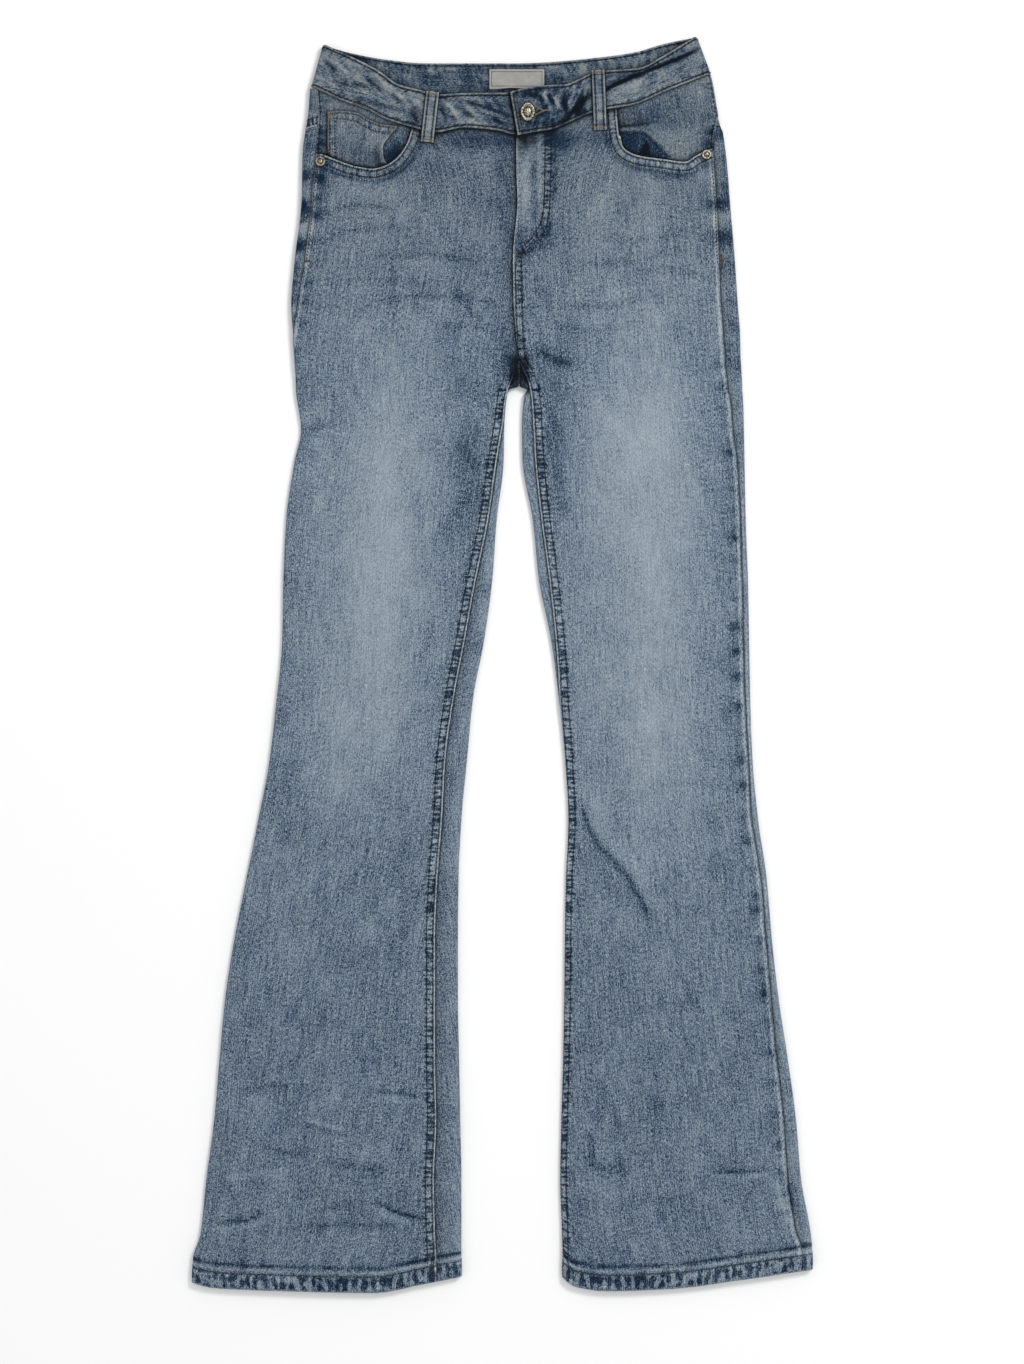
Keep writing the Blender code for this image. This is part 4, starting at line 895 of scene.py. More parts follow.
def denim(name, tint=0.0, grain=1.0, rows=STITCH_ROWS, gloom="shade"):
    """Washed denim: slubby yarns lengthwise, a fine twill, and cloth that is paler on puckers and edges.

    It reads the cloth map, in millimetres across and along the cloth, and what each sheet stores at its
    points: its wash with painted shading, warmth, shade, a painted edge shadow, pucker, seam_along,
    seam_across and worn. Shade is painted shade, of deep folds and beside edges that lie over the cloth,
    and the edge shadow a painted shadow line along a seam. Rows are how far from a seam its stitches
    run; their grooves are painted darker as shade. Gloom names what the shade is read from, because the
    two sides of the waistband lie in different places.
    """
    finish = Finish(name, Roughness=0.86, Sheen_Weight=0.08, Sheen_Roughness=0.5)
    finish.shader.inputs["Specular IOR Level"].default_value = 0.10
    u, v = finish.cloth_map()
    level, pucker, worn = (finish.attribute(key) for key in ("wash", "pucker", "worn"))
    seam_along, seam_across = finish.attribute("seam_along"), finish.attribute("seam_across")
    # Painted shade: the stored shade, and a painted shadow line beside a seam
    shade = finish.attribute(gloom) + finish.attribute("outline") * seam_across.between(1.9, 0.3)
    warmth = finish.attribute("warmth")

    yarn = finish.noise(u / 0.62, v / 2.6)
    slub = finish.noise(u / 1.1, v / 24.0, 3.1)
    speckle = finish.noise(u / 0.58, v / 0.62, 6.2)
    weft = finish.noise(u / 3.4, v / 0.62, 9.3)
    blot = finish.noise(u / 14.0, v / 20.0, 2.2, 3.0, 0.62)
    grainy = (yarn - 0.5) * 0.62 + (slub - 0.5) * 0.34 + (speckle - 0.5) * 0.98 + (weft - 0.5) * 0.30
    contrast = (1.40 - level * 1.25) * level.between(-0.25, 0.25) * (1.30 - warmth * 0.50) * grain

    jitter = finish.noise(seam_along / 10.0, seam_across / 22.0, 1.3, 1.0)
    ladder = (seam_along / PUCKER_PITCH * FULL_TURN + jitter * 9.0).maths_of("SINE")
    chance = finish.noise(seam_along / 3.2, seam_across / 7.0, 7.7)
    bunch = (ladder * 0.16 + chance).between(0.34, 0.62)
    wide_bunch = finish.noise(seam_along / 12.0, seam_across / 16.0, 5.3).between(0.35, 0.65)
    puckered = pucker * ((bunch - 0.62) * 0.50 + (wide_bunch - 0.5) * 0.14)
    # The grooves of the stitch rows are painted darker as shade, most at each stitch
    grooves = sum(finish.bell(seam_across, place, 1.15) for place in rows) * pucker.between(0.05, 0.3)
    stitched = (seam_along * (FULL_TURN / STITCH_PITCH)).maths_of("SINE").between(-0.8, 0.2)
    shade = shade + grooves * (0.22 + 0.45 * stitched)

    tone = level + grainy * contrast + (blot - 0.5) * 0.12 + puckered - grooves * 0.10 + tint
    tone = tone + worn * (0.75 + (yarn - 0.5) * 1.4)
    colour = finish.mix(warmth, finish.ramp(tone, WASH), finish.ramp(tone, WARM_WASH))
    finish.into(Base_Color=finish.mix(shade, colour, PAINTED_SHADE_COLOUR))
    rise = pucker * bunch * 0.00050 + pucker * wide_bunch * 0.0004 - grooves * 0.00045
    weave = (yarn * 0.00012 + speckle * 0.00016 + slub * 0.00008) * grain
    finish.into(Normal=finish.bump(rise + weave, 0.8), Roughness=0.94 - worn * 0.12)
    return finish.material


DENIM = denim("washed denim")
DENIM_BACK = denim("inside of the denim", tint=0.16, grain=0.8)
BAND_DENIM = denim("band denim", rows=(BAND_STITCH,))
BAND_INSIDE = denim("inside of the band", tint=BAND_INSIDE_TINT, rows=(BAND_STITCH,), gloom="inner_shade")


def mesh_from(bm, name, *finishes):
    """The mesh of a finished bmesh, with its materials."""
    mesh = bpy.data.meshes.new(name)
    bm.to_mesh(mesh)
    bm.free()
    for finish in finishes:
        mesh.materials.append(finish)
    return mesh


def add_object(name, data):
    made = bpy.data.objects.new(name, data)
    bpy.context.scene.collection.objects.link(made)
    return made


def add_piece(name, mesh, slot, *nodes):
    """A finished piece of the object, standing for the CAD nodes given."""
    piece = add_object(name, mesh)
    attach(piece, "root")
    if nodes:
        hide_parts(*nodes)
    return piece


def lengths(points):
    """Distances along each row, and down each column, of a grid of points."""
    across = np.linalg.norm(np.diff(points, axis=1), axis=2)
    down = np.linalg.norm(np.diff(points, axis=0), axis=2)
    across = np.concatenate([np.zeros_like(points[:, :1, 0]), np.cumsum(across, axis=1)], axis=1)
    down = np.concatenate([np.zeros_like(points[:1, :, 0]), np.cumsum(down, axis=0)], axis=0)
    return across, down


def add_cloth(name, nodes, outer, facing, wall, fields, finishes=(DENIM, DENIM_BACK), slot="denim"):
    """A sheet of cloth: a grid of points on its outer side that a wall is given to, on its inner side.

    Fields are what the denim reads at each point, and a wall may be one thickness or a grid of them.
    """
    rows, columns = outer.shape[:2]
    bm = bmesh.new()
    bmesh.ops.create_grid(bm, x_segments=columns - 1, y_segments=rows - 1, size=1.0)
    mesh = mesh_from(bm, name, *finishes)
    mesh.vertices.foreach_set("co", (outer * MM).astype(np.float32).ravel())
    mesh.update()
    normals = np.empty(len(mesh.vertices) * 3, np.float32)
    mesh.vertices.foreach_get("normal", normals)
    if (normals.reshape(-1, 3) * facing.reshape(-1, 3)).sum() < 0:
        mesh.flip_normals()
    across, down = lengths(outer)
    given = dict.fromkeys(("wash", "shade", "outline", "pucker", "seam_along", "seam_across", "worn"), 0.0)
    given["warmth"] = ease(outer[..., 1], 230, 570)
    given.update(fields)
    for key, values in given.items():
        stored = mesh.attributes.new(key, "FLOAT", "POINT")
        stored.data.foreach_set("value", np.broadcast_to(values, (rows, columns)).astype(np.float32).ravel())
    corners = np.empty(len(mesh.loops), np.int32)
    mesh.loops.foreach_get("vertex_index", corners)
    places = np.stack([across.ravel(), -down.ravel()], axis=1)[corners]
    mesh.uv_layers.new(name="cloth").data.foreach_set("uv", places.astype(np.float32).ravel())
    mesh.shade_smooth()
    piece = add_piece(name, mesh, slot, *nodes)
    thickest = float(np.max(wall))
    solid = piece.modifiers.new("wall", "SOLIDIFY")
    solid.thickness = thickest * MM
    solid.offset = -1.0
    solid.material_offset = len(finishes) - 1
    if np.size(wall) > 1:
        group = piece.vertex_groups.new(name="wall")
        share = np.broadcast_to(wall, (rows, columns)).ravel() / thickest
        for level in np.unique(share):
            group.add(np.flatnonzero(share == level).tolist(), float(level), "REPLACE")
        solid.vertex_group = "wall"
    return piece


def layer(surface, y, p, sign, raised=0.0):
    """Points raised above a surface that is given by height and girth, and the normals there."""
    across = surface(y, p + NORMAL_STEP) - surface(y, p - NORMAL_STEP)
    up = surface(y + NORMAL_STEP, p) - surface(y - NORMAL_STEP, p)
    normal = np.cross(across, up) * sign
    normal /= np.linalg.norm(normal, axis=-1, keepdims=True)
    return surface(y, p) + normal * np.asarray(raised)[..., None], normal


def spread(start, end, turn, count_start, count_end, count):
    """Girths across a row, closer together where the cloth turns round the fold at each end."""
    turn_start, turn_end = turn
    first = [start]
    for k in range(count_start):
        on_fold = turn_start + (k - (count_start - 1) / 2) * FOLD_STEP
        first.append(max(start + CLOSEST * (k + 1), on_fold))
    last = [end]
    for k in range(count_end):
        on_fold = turn_end - (k - (count_end - 1) / 2) * FOLD_STEP
        last.append(min(end - CLOSEST * (k + 1), on_fold))
    middle = np.linspace(first[-1], last[-1], count + 2)[1:-1]
    return np.array(first + list(middle) + last[::-1])


def panel_rows(count):
    """Heights of a panel's rows, closer together at the step to the doubled hem and at its edge."""
    hem_top = HEM_LINE + HEM_DEPTH
    steps = (8.0, 6.8, 5.7, 4.7, 3.7, 2.6, 1.6, 0.9, 0.3, -0.3, -0.9)
    close = [hem_top + step for step in steps] + [HEM_LINE + step for step in (0.5, 1.1)]
    return np.sort(np.concatenate([np.linspace(TORSO_TOP, HEM_LINE, count), close, CROTCH_ROWS]))[::-1]


def hem_form(y):
    """How far the hem stands proud, rounded at its edge and drawn in by its row of stitches, and its wall."""
    above = y - HEM_LINE
    doubled = ease(above, HEM_DEPTH + 0.9, HEM_DEPTH - 0.9)
    rounded = 0.7 * np.clip(1 - above / 1.4, 0, 1) ** 2
    drawn = 0.32 * hump(above, HEM_STITCH, 1.3)
    proud = HEM_PROUD * doubled - rounded - drawn
    wall = np.where(above < HEM_DEPTH, HEM_WALL - 1.2 * rounded, WALL)
    return proud, wall


def ridge(distance, height, width):
    """A rounded ridge that the seam allowance makes along an edge, with a faint hollow behind it."""
    return height * hump(distance, 0, width) - 0.25 * height * hump(distance, 3.4, 1.5)


def bunches(heights, distance, y):
    """Dark spots along an outer seam where the cloth bunches on the allowance inside."""
    across = hump(distance, BUNCH_INSET, BUNCH_ACROSS) * ease(distance, 0.6, 2.2)
    near = [0.75 + 0.25 * np.sin(height * 1.7) for height in heights]
    spots = sum(size * hump(y, height, BUNCH_ALONG * size) for size, height in zip(near, heights))
    return across * spots


def fly_underlap(side, y):
    return FLY_UNDERLAP * (y > FLY_END + 1) if side is RIGHT else np.zeros_like(y)


def fly_lift(side, x, y):
    """The left front lies over the right one beside the fly."""
    if side is RIGHT:
        return np.zeros_like(x)
    past = np.abs(x - side.inner(y))
    across = 1 - ease(past, FLY_LIFT_FLAT, FLY_LIFT_REACH)
    return FLY_LIFT * across * ease(y, *FLY_LIFT_ENDS)


def front_surface(side):
    def surface(y, p):
        points = side.place(y, p)
        past_end = p - side.inseam(y)
        flat = (past_end > 0) & (fly_underlap(side, y) > 0)
        points[..., 0] = np.where(flat, side.inner(y) + side.inward * past_end, points[..., 0])
        points[..., 2] = np.where(flat, side.top(side.inner(y), y), points[..., 2])
        points[..., 2] += fly_lift(side, points[..., 0], y) * (p > CLEAR_OF_FOLD)
        points[..., 1] += side.hem_shift(points[..., 0], y)
        return lie(points)

    return surface


def back_surface(side):
    def surface(y, p):
        points = side.place(y, p, back=True)
        points[..., 1] += side.hem_shift(points[..., 0], y)
        return lie(points)

    return surface


def nearest(points, line):
    """Distance of points from a flat line, and how far along the line the nearest place is."""
    flat = points[..., :2].reshape(-1, 2)
    gaps = np.linalg.norm(flat[:, None, :] - line[None, :, :], axis=2)
    which = gaps.argmin(axis=1)
    lengths_along = np.concatenate([[0], np.cumsum(np.linalg.norm(np.diff(line, axis=0), axis=1))])
    shape = points.shape[:-1]
    return gaps.min(axis=1).reshape(shape), lengths_along[which].reshape(shape)


def line_shade(distance, gloom):
    return gloom.dark * hump(distance, 0, gloom.reach) + gloom.soft * hump(distance, 0, gloom.spread)


def mouth_line(side, count=160):
    mouth = [(edge.x, edge.y) for edge in side.mouth]
    corner_x = mouth[-1][0]
    mouth[-1] = (corner_x, float(side.waist(corner_x)) - SEAM_GAP)
    return along(mouth, count)


def front_top(side):
    """The upper edge of a front panel: along the pocket mouth, then along the waist seam."""
    over = mouth_line(side, MOUTH_COLUMNS)
    height = np.array(WAIST_END_HEIGHT)
    end = float(side.inner(height) + fly_underlap(side, height)) - side.inward * SEAM_GAP / 2
    xs = np.linspace(over[-1, 0], end, FRONT_COLUMNS - MOUTH_COLUMNS + 1)[1:]
    return np.concatenate([over, np.stack([xs, side.waist(xs) - SEAM_GAP], axis=1)])


def front_grid(side):
    top = front_top(side)
    rows = panel_rows(FRONT_ROWS)

    def ends(y):
        start = side.outseam(y) + SEAM_GAP / 2
        end = side.inseam(y) - SEAM_GAP / 2 + fly_underlap(side, y)
        return start, end

    girths = []
    middle = FRONT_COLUMNS - FOLD_COLUMNS - INNER_COLUMNS - 2
    for y in rows:
        start, end = ends(y)
        total, _, _ = side.girth(y)
        girths.append(spread(start, end, (0, total), FOLD_COLUMNS, INNER_COLUMNS, middle))
    start, end = ends(top[:, 1])
    top_share = np.clip((side.girth_at(top[:, 0], top[:, 1]) - start) / (end - start), 0, 1)
    top_share[0] = 0
    first_share = (girths[0] - girths[0][0]) / (girths[0][-1] - girths[0][0])
    steps = np.linspace(0, 1, FRONT_ROWS_ABOVE, endpoint=False)[:, None] ** 1.35
    above = top[:, 1] + (rows[0] - top[:, 1]) * steps
    start, end = ends(above)
    share = top_share + (first_share - top_share) * steps
    y = np.concatenate([above, np.repeat(rows[:, None], FRONT_COLUMNS, axis=1)])
    return y, np.concatenate([start + share * (end - start), girths])


def hem_fields(from_hem, across, fields):
    """The hem: roped between its edge and its stitches, pale at its fold and its top, dark just above."""
    roped = strip(from_hem, *HEM_PUCKERS)
    fields["pucker"] = np.maximum(fields["pucker"], 0.95 * roped)
    near = from_hem < HEM_DEPTH + 6
    fields["seam_along"] = np.where(near, across * 0.52, fields["seam_along"])
    fields["seam_across"] = np.where(near, HEM_STITCH + 7.6 - from_hem, fields["seam_across"])
    pale = 0.22 * hump(from_hem - HEM_DEPTH, 0.2, 1.7)
    deep = -0.34 * hump(from_hem - HEM_DEPTH, 4.8, 2.1)
    # a little darker in the groove of its stitches: painted shade
    groove = -0.06 * hump(from_hem, HEM_STITCH, 0.9)
    uneven_line = 0.72 + 0.45 * uneven(across, from_hem, 9, 21)
    fields["wash"] = fields["wash"] + (pale + deep) * uneven_line + groove - 0.08 * (from_hem < HEM_DEPTH)
    fields["worn"] = np.maximum(fields["worn"], 0.42 * hump(from_hem, 0, 1.2))


def front_panel(side):
    y, p = front_grid(side)
    surface = front_surface(side)
    plain = surface(y, p)
    to_mouth, on_mouth = nearest(plain[: FRONT_ROWS_ABOVE + 20], mouth_line(side))
    to_mouth = np.pad(to_mouth, ((0, len(y) - len(to_mouth)), (0, 0)), constant_values=60.0)
    on_mouth = np.pad(on_mouth, ((0, len(y) - len(on_mouth)), (0, 0)))
    to_inseam = side.inseam(y) - p
    to_outseam = p - side.outseam(y)
    is_left = side is LEFT
    below_crotch = ease(y, *BELOW_CROTCH)
    proud, wall = hem_form(y)
    raised = proud + ridge(to_inseam, *SEAM_RIDGE) * (below_crotch if not is_left else 1)
    raised += ridge(to_outseam, *OUTSEAM_RIDGE) * ease(plain[..., 2], 1.4, 3.2)
    raised += ridge(to_mouth, *MOUTH_RIDGE)
    outer, normal = layer(surface, y, p, side.inward, raised)
    across, down = lengths(outer)

    inseam = strip(to_inseam, *INSEAM_PUCKERS)
    if is_left:
        inseam = inseam * np.maximum(below_crotch, 0.75 * ease(y, 356, 345))
    else:
        inseam = inseam * below_crotch
    mouth = strip(to_mouth, *MOUTH_PUCKERS)
    fields = {
        "pucker": np.maximum(0.95 * inseam, 0.42 * mouth),
        "seam_along": np.where(to_mouth < 14, on_mouth, y),
        "seam_across": np.where(to_mouth < 14, to_mouth, np.minimum(to_inseam, to_outseam)),
        # a painted shadow line along the outer seam
        "outline": np.where(to_mouth < 14, 0.0, np.where(to_outseam < to_inseam, 0.35, 0.0)),
        "worn": np.maximum(
            0.62 * hump(to_inseam, 0, 1.15) * (1.0 if is_left else below_crotch),
            0.46 * hump(to_mouth, 0, 1.2),
        ),
    }
    rim = hump(to_outseam, 2.3, 1.5)
    fields["worn"] = np.maximum(fields["worn"], (0.44 if is_left else 0.34) * rim)
    spots = bunches(BUNCHES_LEFT if is_left else BUNCHES_RIGHT, to_outseam, y)
    shade = wash(outer) - 0.30 * spots - 0.03 * inseam - 0.06 * mouth
    shade -= 0.22 * hump(to_mouth, 11.2, 2.0)
    shade += 0.10 * hump(to_mouth, 4.6, 1.6)
    x, height = plan(plain)
    waist_gap = np.where(side.inward * (x - side.mouth[-1].x) > -1, np.abs(side.waist(x) - height), 99.0)
    # Painted shadow under the band, beside the fly's edge, below the crotch and round the loops
    gloom = line_shade(waist_gap, FRONT_AT_WAIST)
    on_rise = ease(height, 266, 280)
    if is_left:
        shade += fly_shade(outer)
        # painted shade under the band at the top of the fly
        under_band = hump(x, 20, 8) * hump(height, 458, 8)
        gloom += under_band * (0.78 + 0.3 * uneven(x - height, x + height, 5, 35))
    else:
        gloom += on_rise * line_shade(np.maximum(LEFT.inner(height) - x, 0), FRONT_AT_FLY)
    gloom += crotch_gloom(x, height) + loop_gloom(x, height) * (height > 440)
    if is_left:
        fly_rows(outer, fields)
    fields["wash"] = shade
    fields["shade"] = np.clip(gloom, 0, 0.97)
    hem_fields(down[-1:] - down, across, fields)
    nodes = (f"front_{side.name}",)
    return add_cloth(f"front_{side.name}_denim", nodes, outer, normal, wall, fields)


def loop_gloom(x, y):
    """Painted shadow beside the belt loops and below their feet."""
    gloom = np.zeros(np.shape(x))
    for loop in FRONT_LOOPS:
        across, down = loop.foot_x - loop.top_x, loop.foot_y - loop.top_y
        length = np.hypot(across, down)
        beside = np.abs((x - loop.top_x) * down - (y - loop.top_y) * across) / length - LOOP_WIDTH / 2
        below = ((x - loop.top_x) * across + (y - loop.top_y) * down) / length - length
        gloom += line_shade(np.maximum(np.maximum(beside, below), 0), BESIDE_LOOPS) * (below < 12)
    return gloom


def crotch_gloom(x, y):
    """Painted shadow over the place below the crotch, where the inner seams cross: its edges, and lines
    across it.
    """
    across = strip(x, 5.4, 7.0, 22.6, 24.0)
    up = ease(y, 273, 269)
    lines = 0.10 * (np.sin(y / 1.9 + 0.2 * x) > 0.55) + 0.05 * uneven(x, y, 4, 36)
    return across * up * (y > 236) * (0.84 - lines)


def fly_rows(points, fields):
    """The puckers and grooves of the two rows of stitches beside the fly."""
    to_outer, on_outer = nearest(points, along(FLY_OUTER, 240))
    to_inner, _ = nearest(points, along(FLY_INNER, 240))
    gap = FLY_OUTER[0][0] - FLY_INNER[0][0]
    outside = to_inner > np.maximum(to_outer, gap)
    inside = to_outer > np.maximum(to_inner, gap)
    first, second = STITCH_ROWS
    between = first + to_outer * (second - first) / gap
    from_first = np.where(outside, first - to_outer, np.where(inside, second + to_inner, between))
    near = (np.minimum(to_outer, to_inner) < 8) & (points[..., 1] > 354)
    roped = strip(from_first, *FLY_PUCKERS)
    fields["pucker"] = np.where(near, np.maximum(fields["pucker"], 0.65 * roped), fields["pucker"])
    fields["seam_along"] = np.where(near, on_outer, fields["seam_along"])
    fields["seam_across"] = np.where(near, from_first, fields["seam_across"])


def fly_shade(points):
    """The left front by the fly: dark puckers between its stitch rows, a pale worn placket, a pale lip and
    painted shadow.
    """
    to_outer, _ = nearest(points, along(FLY_OUTER, 90))
    x, y = plan(points)
    above = ease(y, 350, 362)
    between = hump(to_outer, 2.5, 2.4) * (0.6 + 0.7 * uneven(x, y, 5, 31))
    placket = hump(x, 19.5, 5.0) * strip(y, 374, 392, 436, 448)
    shadow = hump(x, 27.6, 1.9) * ease(y, 372, 392) * (0.6 + 0.6 * uneven(x, y, 7, 32))
    lip = hump(x, 32.6, 1.5) * ease(y, 372, 386)
    return above * (0.13 * placket + 0.12 * lip - 0.22 * between - 0.24 * shadow)


def yoke_line(side, share):
    """Height of the yoke seam, from the outer seam to the middle of the back."""
    start = YOKE_SIDES[side.name]
    return start + (YOKE_MIDDLE - start) * ease(share, *YOKE_BEND) / ease(1.0, *YOKE_BEND)


def back_waist(x):
    """Height of the waist seam at the back."""
    ribs = band_ribs(BAND_BACK)[::-1]
    return np.interp(x, ribs[:, 0], ribs[:, 1])


def back_middle(side, y):
    """Girth of the middle of the back, round the underside."""
    total, _, wall = side.girth(y, back=True)
    return -(total - wall / 2)


def back_end(side, y):
    """Girth where a back panel ends: the middle of the back, up round the crotch, then the inner seam."""
    total, _, _ = side.girth(y, back=True)
    under = back_middle(side, y)
    seam = -(2 * total - side.inseam(y, back=True))
    return under + (seam - under) * ease(y, *CROTCH_RISE) + SEAM_GAP / 2


def back_row(side, y):
    """Girths across a back panel, from the outer seam round the underside."""
    start = side.outseam(y) - SEAM_GAP / 2
    total, _, _ = side.girth(y, back=True)
    middle = BACK_COLUMNS - FOLD_COLUMNS - 2 * INNER_COLUMNS - 2
    return -spread(-start, -back_end(side, y), (0, total), FOLD_COLUMNS, 2 * INNER_COLUMNS, middle)


def back_share(side):
    first = back_row(side, TORSO_TOP)
    return (first - first[0]) / (first[-1] - first[0])


def back_panel(side):
    rows = panel_rows(BACK_ROWS)
    girths = np.array([back_row(side, y) for y in rows])
    share = back_share(side)
    top = yoke_line(side, share) - SLANTED_GAP / 2
    above = top + (rows[0] - top) * np.linspace(0, 1, BACK_ROWS_ABOVE, endpoint=False)[:, None]
    start, end = side.outseam(above) - SEAM_GAP / 2, back_end(side, above)
    y = np.concatenate([above, np.repeat(rows[:, None], BACK_COLUMNS, axis=1)])
    p = np.concatenate([start + share * (end - start), girths])
    proud, wall = hem_form(y)
    to_outseam = side.outseam(y) - p
    to_end = p - back_end(side, y)
    outer, normal = layer(back_surface(side), y, p, side.inward, proud)
    across, down = lengths(outer)
    upper = ease(outer[..., 2], *WASH_CHANGE)
    low_leg = ease(y, *BELOW_CROTCH)
    middle = strip(to_end, *CENTRE_PUCKERS) * (1 - low_leg)
    fields = {
        "pucker": np.maximum(0.8 * middle, 0.5 * strip(down, *BACK_TOP_PUCKERS)),
        "seam_along": np.where(down < 14, across, y),
        "seam_across": np.where(down < 14, down, np.minimum(to_end, to_outseam)),
        # a painted shadow line along the outer seam, and along the inner seam in the legs
        "outline": np.where(to_outseam < to_end, 0.5, 0.72 * low_leg) * (down > 14),
        "worn": 0.28 * hump(to_outseam, 2.0, 1.4),
    }
    is_left = side is LEFT
    spots = bunches(BACK_BUNCHES_LEFT if is_left else BACK_BUNCHES_RIGHT, to_outseam, y)
    # darker along its end where it shows from above: painted shade beside the front's edge
    shade = wash(outer) - 0.30 * spots - 0.06 * middle - 0.10 * hump(to_end, 0, 1.5) * upper
    fields["wash"] = shade + 0.07 * low_leg
    fields["shade"] = crotch_gloom(*plan(outer)) * upper * (outer[..., 1] < 262)
    hem_fields(down[-1:] - down, across, fields)
    return add_cloth(f"back_{side.name}_denim", (f"back_{side.name}",), outer, normal, wall, fields)


def settled(height, girth_between, x_at, share, start):
    """Heights of an edge that follows a line given over x, found by going back and forth a few times."""
    y = np.full_like(share, start)
    for _ in range(SETTLING_ROUNDS):
        p = girth_between(y, share)
        y = height(x_at(y, p), p)
    return y


def yoke(side):
    share = back_share(side)

    def between(y, share):
        start, end = side.outseam(y) - SEAM_GAP / 2, back_middle(side, y) + SEAM_GAP / 2
        return start + share * (end - start)

    def x_at(y, p):
        return side.place(y, p, back=True)[..., 0]

    def waist(x, p):
        return np.where(p > 0, side.waist(x), back_waist(x))

    low = yoke_line(side, share) + SLANTED_GAP / 2
    high = settled(waist, between, x_at, share, WAIST_GUESS) - SLANTED_GAP
    y = high + (low - high) * np.linspace(0, 1, 26)[:, None]
    p = np.array([between(row, share) for row in y])
    raised = ridge(y - low, *SEAM_RIDGE)
    outer, normal = layer(back_surface(side), y, p, side.inward, raised)
    across, down = lengths(outer)
    from_seam = down[-1:] - down
    seam = strip(from_seam, *YOKE_PUCKERS)
    spots = bunches((505, 496, 488), side.outseam(y) - p, y)
    fields = {
        "pucker": 0.8 * seam,
        "seam_along": across,
        "seam_across": from_seam,
        "worn": 0.5 * hump(from_seam, 0, 1.1),
        "wash": wash(outer) - 0.05 * seam - 0.15 * spots,
    }
    return add_cloth(f"yoke_{side.name}_denim", (f"yoke_{side.name}",), outer, normal, WALL, fields)


def mouth_height(side, x):
    return column(side.mouth, "y", x, "x")


def facing_offset(side, x, y):
    """How far a facing lies below the front's level: deep under the panel, level at the waist and side."""
    above = y - mouth_height(side, x)
    beside = side.inward * (side.mouth[-1].x - x)
    return FACING_DIP * (1 - ease(np.minimum(above, beside), FACING_LEDGE, FACING_RISE))


def facing_surface(side, raised=0.0):
    def surface(y, p):
        points = side.place(y, p)
        x, height = points[..., 0], points[..., 1]
        points[..., 2] += raised - facing_offset(side, x, height)
        points = lie(points)
        points[..., 2] += creased(FACING_CREASES, x, height)[0] - 0.9 * bag_depth(x, height)
        return points

    return surface


def bag_depth(x, y):
    """1 below the edge of the left facing, where the deep corner of the pocket shows, and 0 on the facing."""
    edge = column(BAG_EDGE, "y", x, "x")
    return ease(edge - y, -0.2, 1.2) * ease(x, BAG_EDGE[-1].x + 1, BAG_EDGE[-1].x - 2) * (x > 95)


def bag_gloom(x, y):
    """Painted shade over that corner, and a wedge of painted shadow in its fold, narrow at its top."""
    down = np.clip((461.5 - y) / 12.0, 0, 1.2)
    middle = 126.2 - 1.3 * down
    fold = ease(np.abs(x - middle), 4.8 * down + 0.5, 4.8 * down - 0.9) * (down > 0)
    return bag_depth(x, y) * (0.03 + 0.90 * fold)


def facing_wash_and_shading(points):
    # The wash with its painted shading; the deep corner of the pocket is darker, unworn cloth with painted
    # shade in it
    x, y = plan(points)
    return wash(points) + spotted(FACING_PATCHES, x, y) - 0.30 * bag_depth(x, y)


def facing_gloom(side, points, to_mouth):
    # Painted shade on a facing: in its creases, in the deep corner of the pocket, round the coin pocket,
    # along the corner's edge, and under the pocket mouth and the band
    x, y = plan(points)
    beside = -creased(FACING_CREASES, x, y)[1] + bag_gloom(x, y)
    if side is RIGHT:
        beside += coin_gloom(x, y)
    edge = column(BAG_EDGE, "y", x, "x")
    below_edge = 0.5 * hump(edge - y, 1.0, 1.4) * (x > 95) * (x < 145)
    waist_gap = np.abs(side.waist(x) - y)
    over = line_shade(to_mouth, FACING_AT_MOUTH) + line_shade(waist_gap, FACING_AT_WAIST)
    return np.clip(beside + below_edge + over, 0, 0.96)


def coin_gloom(x, y):
    """Painted shadow on the facing round the coin pocket."""
    high = column(COIN_TOP, "y", x, "x")
    low = mouth_height(RIGHT, x)
    right = column(COIN_RIGHT, "x", (high - y) / (high - low))
    outside = np.maximum(np.maximum(COIN_TOP[0].x - x, x - right), y - high)
    return line_shade(np.maximum(outside, 0), FACING_AT_COIN) * (outside < 14)


